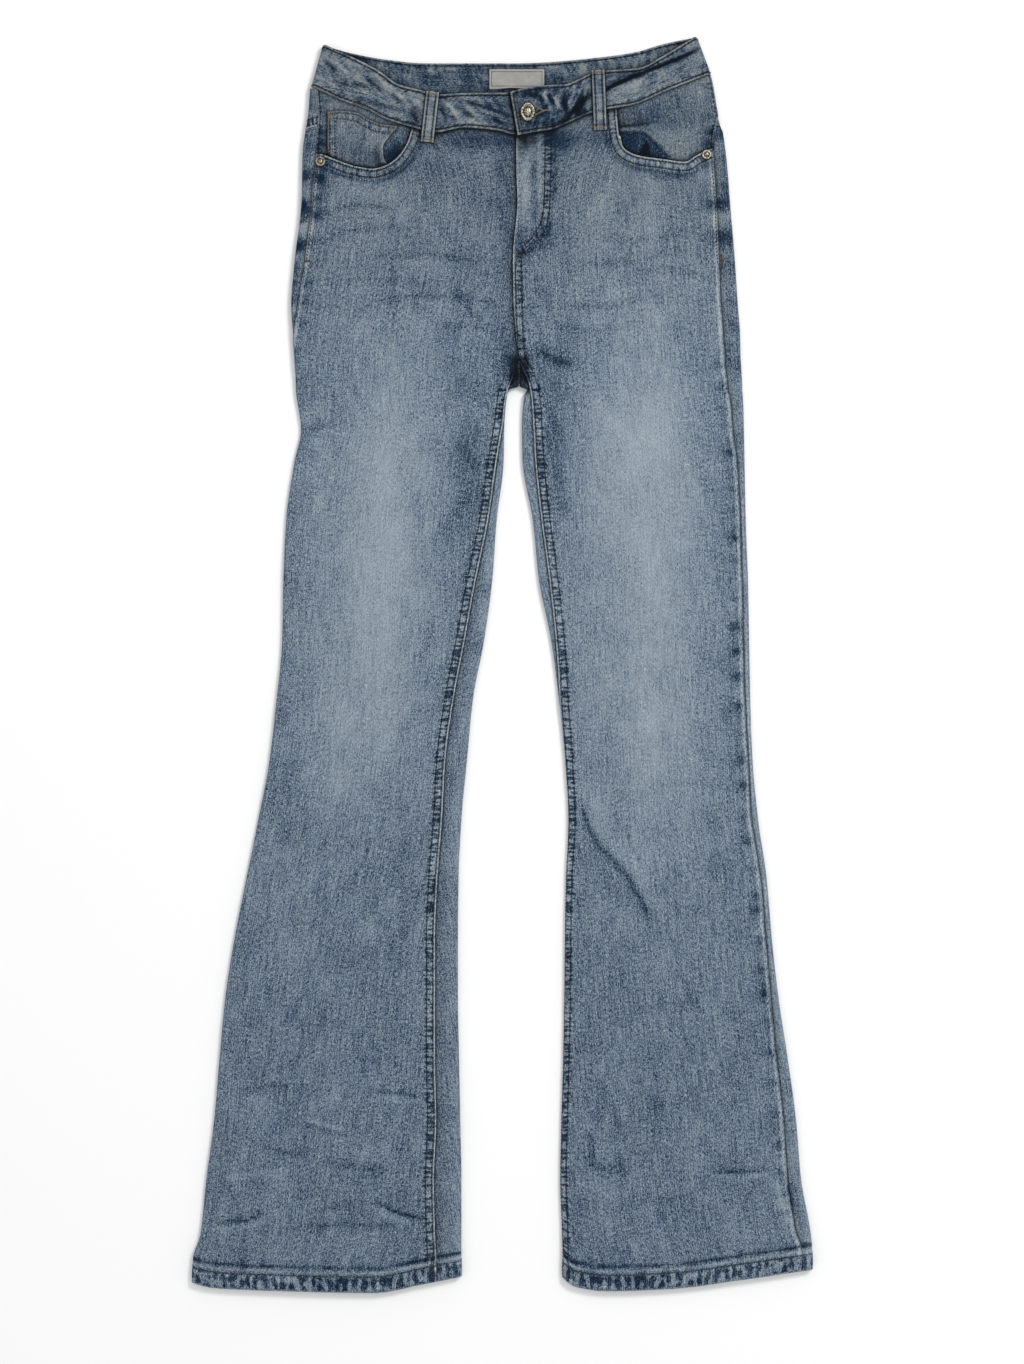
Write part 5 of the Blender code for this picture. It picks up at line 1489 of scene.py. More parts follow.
def pocket_facing(side):
    end_x = side.mouth[-1].x + side.inward * FACING_UNDERLAP
    share = np.linspace(0, 1, FACING_COLUMNS)

    def between(y, share):
        start = side.outseam(y) + SEAM_GAP / 2
        return start + share * (side.girth_at(end_x, y) - start)

    def x_at(y, p):
        return side.place(y, p)[..., 0]

    def high_edge(x, p):
        return side.waist(x)

    def low_edge(x, p):
        reach = side.inward * (x - side.mouth[-1].x)
        step_back = np.clip(reach + FACING_CORNER_START, 0, FACING_CORNER_REACH)
        return mouth_height(side, x - side.inward * step_back) - FACING_UNDERLAP

    high = settled(high_edge, between, x_at, share, WAIST_GUESS) - SEAM_GAP
    low = settled(low_edge, between, x_at, share, MOUTH_GUESS)
    y = high + (low - high) * np.linspace(0, 1, FACING_ROWS)[:, None]
    p = np.array([between(row, share) for row in y])
    outer, normal = layer(facing_surface(side), y, p, side.inward)
    from_side = p - side.outseam(y)
    to_mouth, _ = nearest(outer, mouth_line(side))
    spots = bunches((506, 494, 480, 466, 456), from_side, y)
    fields = {
        "pucker": 0.4 * ease(from_side, 8, 2),
        "seam_along": y,
        "seam_across": from_side,
        "worn": 0.3 * hump(from_side, 0, 1.0),
        "wash": facing_wash_and_shading(outer) - 0.24 * spots,
        "warmth": 1 - bag_depth(*plan(outer)),
        "shade": facing_gloom(side, outer, to_mouth),
    }
    nodes = (f"pocket_facing_{side.name}",)
    return add_cloth(f"facing_{side.name}", nodes, outer, normal, FACING_WALL, fields)


def coin_place(share, step):
    """A place on the coin pocket: share 0 to 1 across it, step 0 to 1 from its top to its foot."""
    left = COIN_TOP[0].x
    right = column(COIN_RIGHT, "x", step)
    x = left + (right - left) * share
    high = column(COIN_TOP, "y", left + (COIN_TOP[-1].x - left) * share, "x")
    low = mouth_height(RIGHT, x) + COIN_FOOT_GAP
    return x, high + (low - high) * step


def coin_pocket():
    side = RIGHT
    share, step = grid((0, 1), (0, 1), COIN_COLUMNS, COIN_ROWS)
    x, y = coin_place(share, step)
    p = side.girth_at(x, y)
    from_top = y[:1] - y
    from_left, from_right = x - x[:, :1], x[:, -1:] - x
    edge = np.minimum(np.minimum(from_top, from_left), from_right)
    rolled = 0.35 * hump(from_top, 3.6, 3.0) - 0.35 * np.clip(1 - edge / 0.9, 0, 1)
    low_half = ease(step, 0.12, 0.45)
    curled = 1.1 * hump(from_right, 1.6, 2.0) * low_half
    hollow = -0.9 * hump(from_right, 7.0, 3.4) * low_half
    thick = LAYER_GAP + COIN_WALL + 0.8 + rolled + curled + hollow
    outer, normal = layer(facing_surface(side), y, p, side.inward, thick)
    near_edge = np.minimum(from_top, from_left)
    to_mouth, _ = nearest(outer, mouth_line(side))
    # Painted shade in the hollow beside the curled right edge and under the pocket mouth, a painted shadow
    # line along its edges, and a painted highlight on the curl
    gloom = 0.62 * hump(from_right, 6.0, 2.6) * ease(step, 0.35, 0.75)
    fields = {
        "pucker": 0.35 * strip(near_edge, *COIN_PUCKERS),
        "seam_along": np.where(from_top < from_left, x, y),
        "seam_across": near_edge,
        "worn": 0.26 * hump(edge, 0, 1.1),
        "outline": 0.55,
        "warmth": 1.0,
        "wash": facing_wash_and_shading(outer) + 0.02 + 0.14 * curled + 0.06 * uneven(x, y, 9, 41),
        "shade": np.clip(gloom + line_shade(to_mouth, COIN_AT_MOUTH), 0, 0.9),
    }
    return add_cloth("coin_pocket_denim", ("coin_pocket",), outer, normal, COIN_WALL, fields)


def patch_half(step):
    """Half the width of a patch pocket, from its mouth to its foot."""
    return (PATCH_TOP_WIDTH + (PATCH_LOW_WIDTH - PATCH_TOP_WIDTH) * step) / 2


def patch_edge(side, step, share):
    """A place on a patch pocket: step 0 to 1 from its mouth to its foot, share -1 to 1 across it."""
    point = PATCH_MIDDLE_HEIGHT - PATCH_SIDE_HEIGHT
    low = PATCH_TOP - PATCH_SIDE_HEIGHT - point * (1 - np.abs(share))
    half = patch_half(step)
    return PATCH_CENTRES[side.name] + share * half, PATCH_TOP + (low - PATCH_TOP) * step


def back_pocket(side):
    """A patch pocket with a pointed foot, flat on the surface below the seat."""
    share, step = grid((-1, 1), (0, 1), PATCH_COLUMNS, PATCH_ROWS)
    x, y = patch_edge(side, step, share)
    from_side = (1 - np.abs(share)) * patch_half(step)
    from_top = PATCH_TOP - y
    from_foot = (1 - step) * PATCH_SIDE_HEIGHT
    edge = np.minimum(np.minimum(from_side, from_foot), from_top)
    sunk = 0.45 * np.clip(1 - edge / 1.2, 0, 1) ** 2 + 0.2 * hump(edge, 2.0, 0.8)
    sunk += 0.16 * (1 + uneven(x, y, 24, 41)) * ease(edge, 4, 14)
    outer = np.stack([x, y, 0.1 + sunk], axis=-1)
    fields = {
        "pucker": 0.8 * strip(edge, *PATCH_PUCKERS),
        "seam_along": np.where(from_side < from_foot, y, x),
        "seam_across": edge,
        "worn": 0.55 * hump(edge, 0, 1.1),
        "wash": 0.40 + 0.05 * uneven(x, y, 26, 4) + 0.04 * uneven(x, y, 10, 5) - 0.05 * ease(edge, 14, 4),
    }
    nodes = (f"back_pocket_{side.name}",)
    return add_cloth(f"patch_{side.name}", nodes, outer, DOWN, PATCH_WALL, fields)


def band_front_height(x):
    """Height of the band's middle layer at the front."""
    side_left = x > float(LEFT.inner(BAND_HEIGHT))
    level = np.where(side_left, LEFT.top(x, BAND_HEIGHT), RIGHT.top(x, BAND_HEIGHT))
    return level + BAND_PROUD - BAND_WALL / 2


def band_lift(x):
    """The buttonhole end lies over the end with the button."""
    return (BAND_WALL + LAYER_GAP) * (1 - ease(x, *OVERLAP_LIFT_ENDS))


def band_relief(x, y):
    """The band's folds and softness, as (height, shade)."""
    height, shade = creased(BAND_CREASES, x, y)
    return height + 0.5 * upper_relief(x, y)[0] + 0.12 * uneven(x, y, 8, 51), shade


def band_stretch(ribs, height, up):
    """Middle points and normals of one flat stretch of the band, as (ribs, rows, 3)."""
    share = np.linspace(0, 1, BAND_ROWS)[None, :]
    x = ribs[:, :1] + (ribs[:, 2:3] - ribs[:, :1]) * share
    y = ribs[:, 1:2] + (ribs[:, 3:4] - ribs[:, 1:2]) * share
    points = np.stack([x, y, height(x)], axis=-1)
    return points, np.broadcast_to([0.0, 0.0, up], points.shape)


def band_fold(rib, above, below, sign):
    """The band's turn from the front to the back at a side, about a lengthwise axis."""
    share = np.linspace(0, 1, BAND_ROWS)
    x = rib[0] + (rib[2] - rib[0]) * share
    y = rib[1] + (rib[3] - rib[1]) * share
    radius = (above - below) / 2
    points, normals = [], []
    for angle in np.radians(BAND_FOLD_ANGLES):
        outward = np.sin(angle)
        rise = np.cos(angle)
        z = below + radius + radius * rise
        points.append(np.stack([x + sign * radius * outward, y, z], axis=1))
        normals.append(np.broadcast_to([sign * outward, 0.0, rise], points[-1].shape))
    return np.array(points), np.array(normals)


def band_grid():
    """Middle points and outward normals all along the band, from the buttonhole end round the back."""
    below = BAND_BACK_OUTER + BAND_WALL / 2
    left, left_up = band_stretch(band_ribs(BAND_LEFT), lambda x: band_front_height(x) + band_lift(x), 1.0)
    back, back_up = band_stretch(band_ribs(BAND_BACK), lambda x: np.full_like(x, below), -1.0)
    right, right_up = band_stretch(band_ribs(BAND_RIGHT[::-1]), band_front_height, 1.0)
    fold_left, fold_left_up = band_fold(BAND_LEFT[-1], left[-1, :, 2], below, 1)
    fold_right, fold_right_up = band_fold(BAND_RIGHT[-1], right[0, :, 2], below, -1)
    points = np.concatenate([left, fold_left, back, fold_right[::-1], right])
    normals = np.concatenate([left_up, fold_left_up, back_up, fold_right_up[::-1], right_up])
    return points, normals


def streaked(x, y, turn, shift):
    """Smooth chance values from -1 to 1 in streaks that run in one direction, in degrees."""
    turn = np.radians(turn)
    u, v = x * np.cos(turn) + y * np.sin(turn), y * np.cos(turn) - x * np.sin(turn)
    return 0.60 * uneven(u / 9.0, v / 2.6, 1.0, shift) + 0.50 * uneven(u / 5.0, v / 1.5, 1.0, shift + 1)


def band_end(y):
    """Where the buttonhole end of the band runs."""
    end = BAND_LEFT[0]
    return np.interp(y, (end.low_y, end.high_y), (end.low_x, end.high_x))


def band_groove(edge):
    return 0.48 * hump(edge, BAND_STITCH, 1.0)


def band_gloom(x, y, edge, on_front, shade):
    """Painted shade on the band's outer side: in its folds and groove, and beside the overlap, button and
    loops.
    """
    gloom = np.clip(-1.6 * shade, 0, 1) * on_front + band_groove(edge)
    end_x = band_end(y)
    gloom += line_shade(np.abs(end_x - x), BAND_AT_OVERLAP) * on_front * (x < end_x + 0.3)
    gloom += 0.55 * hump(x - end_x, 4.6, 1.3) * on_front
    to_button = np.hypot((x - BUTTON_CENTRE[0]) / BUTTON_WIDTH, y - BUTTON_CENTRE[1]) - 7.5
    gloom += 0.75 * hump(np.maximum(to_button, 0), 0, 1.6) * on_front * (x > end_x)
    gloom += loop_gloom(x, y) * on_front
    return np.clip(gloom, 0, 0.96)


def band_inner_gloom(x, y, edge, on_back):
    """Painted shade on the inside of the back of the band: above the front of the band, and round the label.
    """
    gloom = band_groove(edge)
    left_edge = column(BAND_LEFT, "high_y", x, "high_x")
    right_edge = column(BAND_RIGHT, "high_y", x, "high_x")
    front_edge = np.where(x > BAND_LEFT[0].high_x, left_edge, right_edge)
    above_front = np.maximum(y - front_edge, 0)
    gloom += line_shade(above_front, BAND_OVER_FRONT) * on_back
    beside_x = np.abs(x - LABEL_CENTRE[0]) - LABEL_SIZE[0] / 2
    beside_y = np.abs(y - LABEL_CENTRE[1]) - LABEL_SIZE[1] / 2
    beside_label = np.maximum(beside_x, beside_y)
    gloom += 0.5 * hump(np.maximum(beside_label, 0), 0, 1.4) * on_back
    return np.clip(gloom, 0, 0.96)


def waistband():
    points, normals = band_grid()
    across, along_band = lengths(points)
    x, y = plan(points)
    on_front = ease(normals[..., 2], 0.2, 1.0)
    relief, shade = band_relief(x, y)
    relief += 0.5 * hump(along_band, 2.2, 1.6) - 0.4 * hump(along_band, 5.0, 1.4)
    from_low, from_high = across, across[:, -1:] - across
    from_end = np.minimum(along_band, along_band[-1:] - along_band)
    edge = np.minimum(np.minimum(from_low, from_high), from_end)
    rounded = 0.5 * np.clip(1 - edge / 1.3, 0, 1) ** 2 + 0.26 * hump(edge, BAND_STITCH, 0.8)
    points = points + np.stack([0 * x, 0 * x, relief * on_front], axis=-1)
    outer = points + normals * (BAND_WALL / 2 - rounded)[..., None]
    on_back = normals[..., 2] < -0.5
    level = BAND_LEVEL + 0.06 * uneven(x, y, 13, 62)
    # the creases' painted highlights and shade
    level += on_front * (np.where(shade > 0, shade, 0.45 * shade) + spotted(BAND_PATCHES, x, y))
    end_x = band_end(y)
    level += 0.24 * hump(x - end_x, 2.4, 1.5) * on_front
    # painted highlights and shade of small wrinkles, in streaks
    for streak in BAND_STREAKS:
        within = strip(x, streak.x0, streak.x0 + 8, streak.x1 - 8, streak.x1)
        level += streak.depth * within * streaked(x, y, streak.turn, 61) * on_front
    level += (0.24 * streaked(x, y, 82, 64) + 0.10 * ease(x, 30, 90)) * on_back
    fields = {
        "pucker": 0.08 + 0.30 * strip(edge, *BAND_PUCKERS),
        "seam_along": np.where(from_end < 7, from_low * 1.3, along_band * 0.75),
        "seam_across": edge,
        "worn": 0.26 * ease(edge, 1.7, 0.7),
        "wash": level,
        "warmth": 1.0,
        "shade": band_gloom(x, y, edge, on_front, shade),
        "inner_shade": band_inner_gloom(x, y, edge, on_back),
    }
    finishes = (BAND_DENIM, BAND_INSIDE)
    return add_cloth("band", ("waistband",), outer, normals, BAND_WALL - rounded, fields, finishes)


def loop_form(across, up, length):
    """How far a belt loop is raised: soft sides, a hollow at each row of stitches, and sewn-down ends."""
    from_side = LOOP_WIDTH / 2 - np.abs(across)
    from_end = np.minimum(up, length - up)
    form = 0.35 * ease(from_side, 0, 1.3) - 0.18 * hump(from_side, 2.2, 0.8)
    form += 0.5 * ease(from_end, 2.0, 7.0)
    return form - 0.45 * hump(from_end, 2.0, 1.2), from_side, from_end


def loop_fields(across, up, from_side, from_end):
    return {
        "pucker": 0.22 * ease(from_side, 0.4, 1.6),
        "warmth": 1.3,
        "seam_along": up,
        "seam_across": from_side,
        "worn": 0.26 * hump(from_side, 0, 0.8) + 0.2 * hump(from_end, 0, 0.9),
        # darker beside the rows of stitches, and a dark line near each end where the loop folds: painted
        # shade
        "wash": LOOP_LEVEL + 0.10 * uneven(across, up, 5, 71) - 0.14 * hump(from_side, 2.0, 1.0),
        "shade": 0.6 * hump(from_end, 4.2, 0.9),
    }


def front_loop(loop):
    """A belt loop that lies over the band and is sewn to the panel below it."""
    side = RIGHT if loop.top_x < 0 else LEFT
    length = np.hypot(loop.top_x - loop.foot_x, loop.top_y - loop.foot_y)
    lean = np.array([loop.top_x - loop.foot_x, loop.top_y - loop.foot_y]) / length
    across, down = grid((-LOOP_WIDTH / 2, LOOP_WIDTH / 2), (0, length), LOOP_COLUMNS, LOOP_ROWS)
    middle_x, middle_y = loop.top_x - lean[0] * down, loop.top_y - lean[1] * down
    on_band = ease(middle_y - side.waist(middle_x), *LOOP_STEP_ENDS)
    x, y = middle_x + across * lean[1], middle_y - across * lean[0]
    relief = upper_relief(x, y)[0] * (1 - on_band) + band_relief(x, y)[0] * on_band
    base = side.top(x, y) + LAYER_GAP
    over_band = np.maximum(band_front_height(x) + BAND_WALL / 2 + LAYER_GAP, base)
    z = base + (over_band + LOOP_OVER_BAND - base) * on_band + np.maximum(relief, 0.4 * relief)
    form, from_side, from_end = loop_form(across, down, length)
    outer = np.stack([x, y, z + LOOP_WALL + form], axis=-1)
    fields = loop_fields(across, down, from_side, from_end)
    fields["wash"] = fields["wash"] + 0.07 * (side is RIGHT)
    finishes = (BAND_DENIM, BAND_DENIM)
    return add_cloth(f"{loop.name}_denim", (loop.name,), outer, UP, LOOP_WALL, fields, finishes)


def back_loop(loop):
    """A belt loop on the underside, flat on the surface."""
    length = np.hypot(loop.top_x - loop.foot_x, loop.top_y - loop.foot_y)
    across, down = grid((-LOOP_WIDTH / 2, LOOP_WIDTH / 2), (0, length), LOOP_COLUMNS, LOOP_ROWS)
    x = loop.top_x + (loop.foot_x - loop.top_x) * down / length + across
    y = loop.top_y + (loop.foot_y - loop.top_y) * down / length
    form, from_side, from_end = loop_form(across, down, length)
    outer = np.stack([x, y, 0.9 - form], axis=-1)
    fields = loop_fields(across, down, from_side, from_end)
    wall = BACK_LOOP_WALL - 0.55
    finishes = (BAND_DENIM, BAND_DENIM)
    return add_cloth(f"{loop.name}_denim", (loop.name,), outer, DOWN, wall, fields, finishes)


def turned(name, node, slot, profile, centre, base, finish, bulges=None, width=1.0):
    """A round piece from its profile of radius and height, from its top middle to its foot middle."""
    profile = np.array(profile, float)
    rings, steps = len(profile), ROUND_STEPS
    bm = bmesh.new()
    bmesh.ops.create_grid(bm, x_segments=steps, y_segments=rings - 1, size=1.0)
    angle, ring = np.meshgrid(np.linspace(0, 2 * np.pi, steps + 1), np.arange(rings))
    radius, height = profile[ring, 0], profile[ring, 1]
    if bulges is not None:
        height = height + bulges(angle, radius)
    angle[:, -1] = 0
    x, y = centre[0] + width * radius * np.cos(angle), centre[1] + radius * np.sin(angle)
    places = np.stack([x, y, base + height], axis=-1).reshape(-1, 3) * MM
    bm.verts.ensure_lookup_table()
    for vert, place in zip(bm.verts, places):
        vert.co = place
    bmesh.ops.remove_doubles(bm, verts=bm.verts, dist=1e-6)
    bmesh.ops.recalc_face_normals(bm, faces=bm.faces)
    if bm.calc_volume(signed=True) < 0:
        bmesh.ops.reverse_faces(bm, faces=bm.faces)
    mesh = mesh_from(bm, name, finish)
    mesh.shade_smooth()
    mesh.set_sharp_from_angle(angle=np.radians(40))
    return add_piece(name, mesh, slot, node)


def label():
    """A bare woven label on the inside of the back of the band."""
    across, up = grid((-0.5, 0.5), (0.5, -0.5), LABEL_COLUMNS, LABEL_ROWS)
    x, y = LABEL_CENTRE[0] + across * LABEL_SIZE[0], LABEL_CENTRE[1] + up * LABEL_SIZE[1]
    from_end = (0.5 - np.abs(across)) * LABEL_SIZE[0]
    from_foot = (up + 0.5) * LABEL_SIZE[1]
    wave = 0.5 * (1 + np.sin(x / 4.1)) * ease(from_foot, 5.0, 0.0) * ease(from_end, 2.0, 6.0)
    y = y + 0.5 * np.sin(x / 5.3) * ease(from_foot, 6.0, 0.0)
    z = BAND_BACK_OUTER + BAND_WALL + LAYER_GAP + LABEL_WALL + 0.8 * wave
    z = z - 0.25 * hump(from_end, 1.6, 0.7)
    outer = np.stack([x, y, z], axis=-1)
    finishes = (LABEL_CLOTH, LABEL_CLOTH)
    return add_cloth("label", ("inner_label",), outer, UP, LABEL_WALL, {}, finishes, "label_cloth")


def woven_label():
    """Plain pale label cloth: fine ribs across it and soft soiling."""
    finish = Finish("label cloth", Roughness=0.8, Sheen_Weight=0.2)
    u, v = finish.cloth_map()
    ribs = finish.noise(u / 3.0, v / 0.5)
    specks = finish.noise(u / 0.8, v / 0.8, 2.0, 1.0)
    soil = finish.noise(u / 9.0, v / 6.0, 5.0, 2.0)
    tone = 0.5 + (ribs - 0.5) * 0.5 + (specks - 0.5) * 0.7 + (soil - 0.5) * 0.6
    stops = ((0.0, (0.18, 0.178, 0.168)), (0.5, (0.30, 0.297, 0.283)), (1.0, (0.43, 0.427, 0.405)))
    finish.into(Base_Color=finish.ramp(tone, stops), Normal=finish.bump(ribs * 0.0002 + specks * 0.0001, 0.8))
    return finish.material


def aged_metal(name, dark, pale, centres, rings, width=1.0):
    """Brushed, tarnished metal: painted dark reflections and shade in its hollows, the rings at the given
    distances from its middle.
    """
    finish = Finish(name, Metallic=1.0)
    x, y, z = finish.place()
    tarnish = finish.noise(x * 700, y * 700, z * 700, 3.0, 0.65)
    scratch = finish.noise(x * 2600, y * 500, 0.0, 1.0)
    hollow = 0.0
    for middle_x, middle_y in centres:
        beside_x, beside_y = (x - middle_x * MM) / width, y - middle_y * MM
        distance = (beside_x * beside_x + beside_y * beside_y).maths_of("SQRT")
        for place, reach in rings:
            hollow = hollow + finish.bell(distance, place * MM, reach * MM)
    # The strong dark and pale patches are partly tarnish and partly painted reflections
    tone = (tarnish - 0.5) * 2.6 + (scratch - 0.5) * 0.5 + 0.52 - hollow * 0.60
    finish.into(Base_Color=finish.ramp(tone, ((0.1, dark), (0.9, pale))))
    finish.into(Roughness=0.28 + tarnish * 0.3, Normal=finish.bump(tarnish * 0.0003 + scratch * 0.00005, 0.8))
    return finish.material


def thread(name, dark, pale):
    """Sewing thread: a fine lengthwise twist and colour that changes from stitch to stitch."""
    finish = Finish(name, Roughness=0.8)
    finish.shader.inputs["Specular IOR Level"].default_value = 0.15
    x, y, z = finish.place()
    patchy = finish.noise(x * 90, y * 90, z * 90, 2.0)
    fine = finish.noise(x * 700, y * 700, z * 700, 1.0)
    tone = 0.5 + (patchy - 0.5) * 1.3 + (fine - 0.5) * 0.8
    finish.into(Base_Color=finish.ramp(tone, ((0.1, dark), (0.9, pale))))
    finish.into(Normal=finish.bump(fine * 0.0002, 0.6))
    return finish.material


LABEL_CLOTH = woven_label()
BUTTON_METAL = aged_metal("button metal", *BUTTON_TONES, (BUTTON_CENTRE,), BUTTON_HOLLOWS, BUTTON_WIDTH)
RIVET_METAL = aged_metal("rivet metal", *RIVET_TONES, RIVET_CENTRES.values(), RIVET_HOLLOWS)
BROWN_THREAD = thread("brown thread", (0.022, 0.018, 0.016), (0.12, 0.092, 0.07))
GOLD_THREAD = thread("golden thread", (0.09, 0.07, 0.05), (0.31, 0.25, 0.175))
# Its near-black colour is partly the thread's own and partly painted shade of the grooves it lies in
DARK_THREAD = thread("dark thread", (0.005, 0.006, 0.008), (0.042, 0.036, 0.033))


def button():
    x, y = BUTTON_CENTRE
    base = float(band_front_height(x) + band_lift(x)) + BAND_WALL / 2 + LAYER_GAP
    base += float(band_relief(np.array(x), np.array(y))[0])

    def worked(angle, radius):
        beads = 0.14 * np.sin(angle * 14) * hump(radius, 6.9, 0.8)
        return beads + 0.05 * np.sin(angle * 3 + 1) * (radius < 3.5)

    shape = (BUTTON_PROFILE, BUTTON_CENTRE, base, BUTTON_METAL, worked, BUTTON_WIDTH)
    return turned("button", "waist_button", "button_metal", *shape)


def rivet(side):
    centre = np.array(RIVET_CENTRES[side.name])
    level = max(float(side.top(centre[0] + step, centre[1])) for step in (-RIVET_REACH, 0.0, RIVET_REACH))
    level += float(upper_relief(centre[0], centre[1])[0])
    name = f"rivet_{side.name}"
    shape = (RIVET_PROFILE, centre, level + LAYER_GAP, RIVET_METAL)
    return turned(f"{name}_metal", name, "button_metal", *shape)


def spaced(points, pitch):
    """Places a stitch apart along a line."""
    gaps = np.linalg.norm(np.diff(points, axis=0), axis=1)
    length = np.concatenate([[0], np.cumsum(gaps)])
    at = np.arange(pitch / 2, length[-1], pitch)
    return np.stack([np.interp(at, length, points[:, k]) for k in range(points.shape[1])], axis=1)


def beside(line, distance):
    """A flat line moved sideways, to the right of its own direction."""
    step = np.gradient(line, axis=0)
    step /= np.linalg.norm(step, axis=1, keepdims=True)
    return line + distance * np.stack([step[:, 1], -step[:, 0]], axis=1)


def cloth_tree(piece):
    mesh = piece.data
    return BVHTree.FromPolygons([v.co for v in mesh.vertices], [tuple(p.vertices) for p in mesh.polygons])


def drop(tree, point, from_above):
    """Where a flat point meets the cloth, from above or from below."""
    start = Vector((point[0] * MM, point[1] * MM, DROP if from_above else -DROP))
    return tree.ray_cast(start, Vector((0, 0, -1 if from_above else 1)))


class Thread:
    """Rows of stitches in one thread: each one a small ellipsoid that lies on the cloth."""

    def __init__(self, name, finish):
        self.name, self.finish = name, finish
        self.whole = bmesh.new()

    def lay(self, places, directions, normals, length, thick):
        for start in range(0, len(places), ROW_CHUNK):
            part = slice(start, start + ROW_CHUNK)
            self.lay_part(places[part], directions[part], normals[part], length, thick)

    def lay_part(self, places, directions, normals, length, thick):
        row = bmesh.new()
        for place, direction, normal in zip(places, directions, normals):
            along_thread = Vector(direction).normalized() + Vector(rng.normal(0, 0.05, 3))
            up = Vector(normal)
            side = up.cross(along_thread).normalized()
            along_thread = side.cross(up).normalized()
            size = length * (1 + rng.normal(0, 0.06)) / 2
            axes = Matrix((side * thick / 2, up * thick / 2, along_thread * size)).transposed() * MM
            matrix = axes.to_4x4()
            matrix.translation = Vector(place) + up * (THREAD_RISE * thick * MM)
            matrix.translation.z = max(matrix.translation.z, thick / 2 * MM)
            bmesh.ops.create_uvsphere(row, u_segments=6, v_segments=4, radius=1.0, matrix=matrix)
        made = mesh_from(row, "row")
        self.whole.from_mesh(made)
        bpy.data.meshes.remove(made)

    def sew(self, tree, line, from_above=True, pitch=STITCH_PITCH, length=STITCH_LENGTH, thick=STITCH_THICK):
        """Stitches end to end along a line. A flat one is dropped on the cloth, or raised from below."""
        flat = line.shape[1] == 2
        places, normals = [], []
        for point in spaced(line, pitch):
            found = drop(tree, point, from_above) if flat else tree.find_nearest(Vector(point * MM))
            if found[0] is not None:
                places.append(found[0])
                normals.append(found[1])
        if len(places) > 1:
            steps = np.gradient(np.array(places), axis=0)
            self.lay(places, steps, normals, length, thick)

    def tack(self, tree, start, end, width=2.2, from_above=True):
        """A bar tack: stitches side by side across a short bar."""
        start, end = np.array(start, float), np.array(end, float)
        bar = end - start
        count = max(int(np.linalg.norm(bar) / TACK_PITCH), 2)
        across = np.array([bar[1], -bar[0], 0.0]) / np.linalg.norm(bar)
        places, normals, directions = [], [], []
        for share in np.linspace(0, 1, count):
            point = start + bar * share
            place, normal, _, _ = drop(tree, point, from_above)
            if place is not None:
                places.append(place)
                normals.append(normal)
                directions.append(across)
        if places:
            self.lay(places, directions, normals, width, TACK_THICK)

    def finished(self):
        mesh = mesh_from(self.whole, self.name, self.finish)
        mesh.shade_smooth()
        return add_piece(self.name, mesh, "denim")


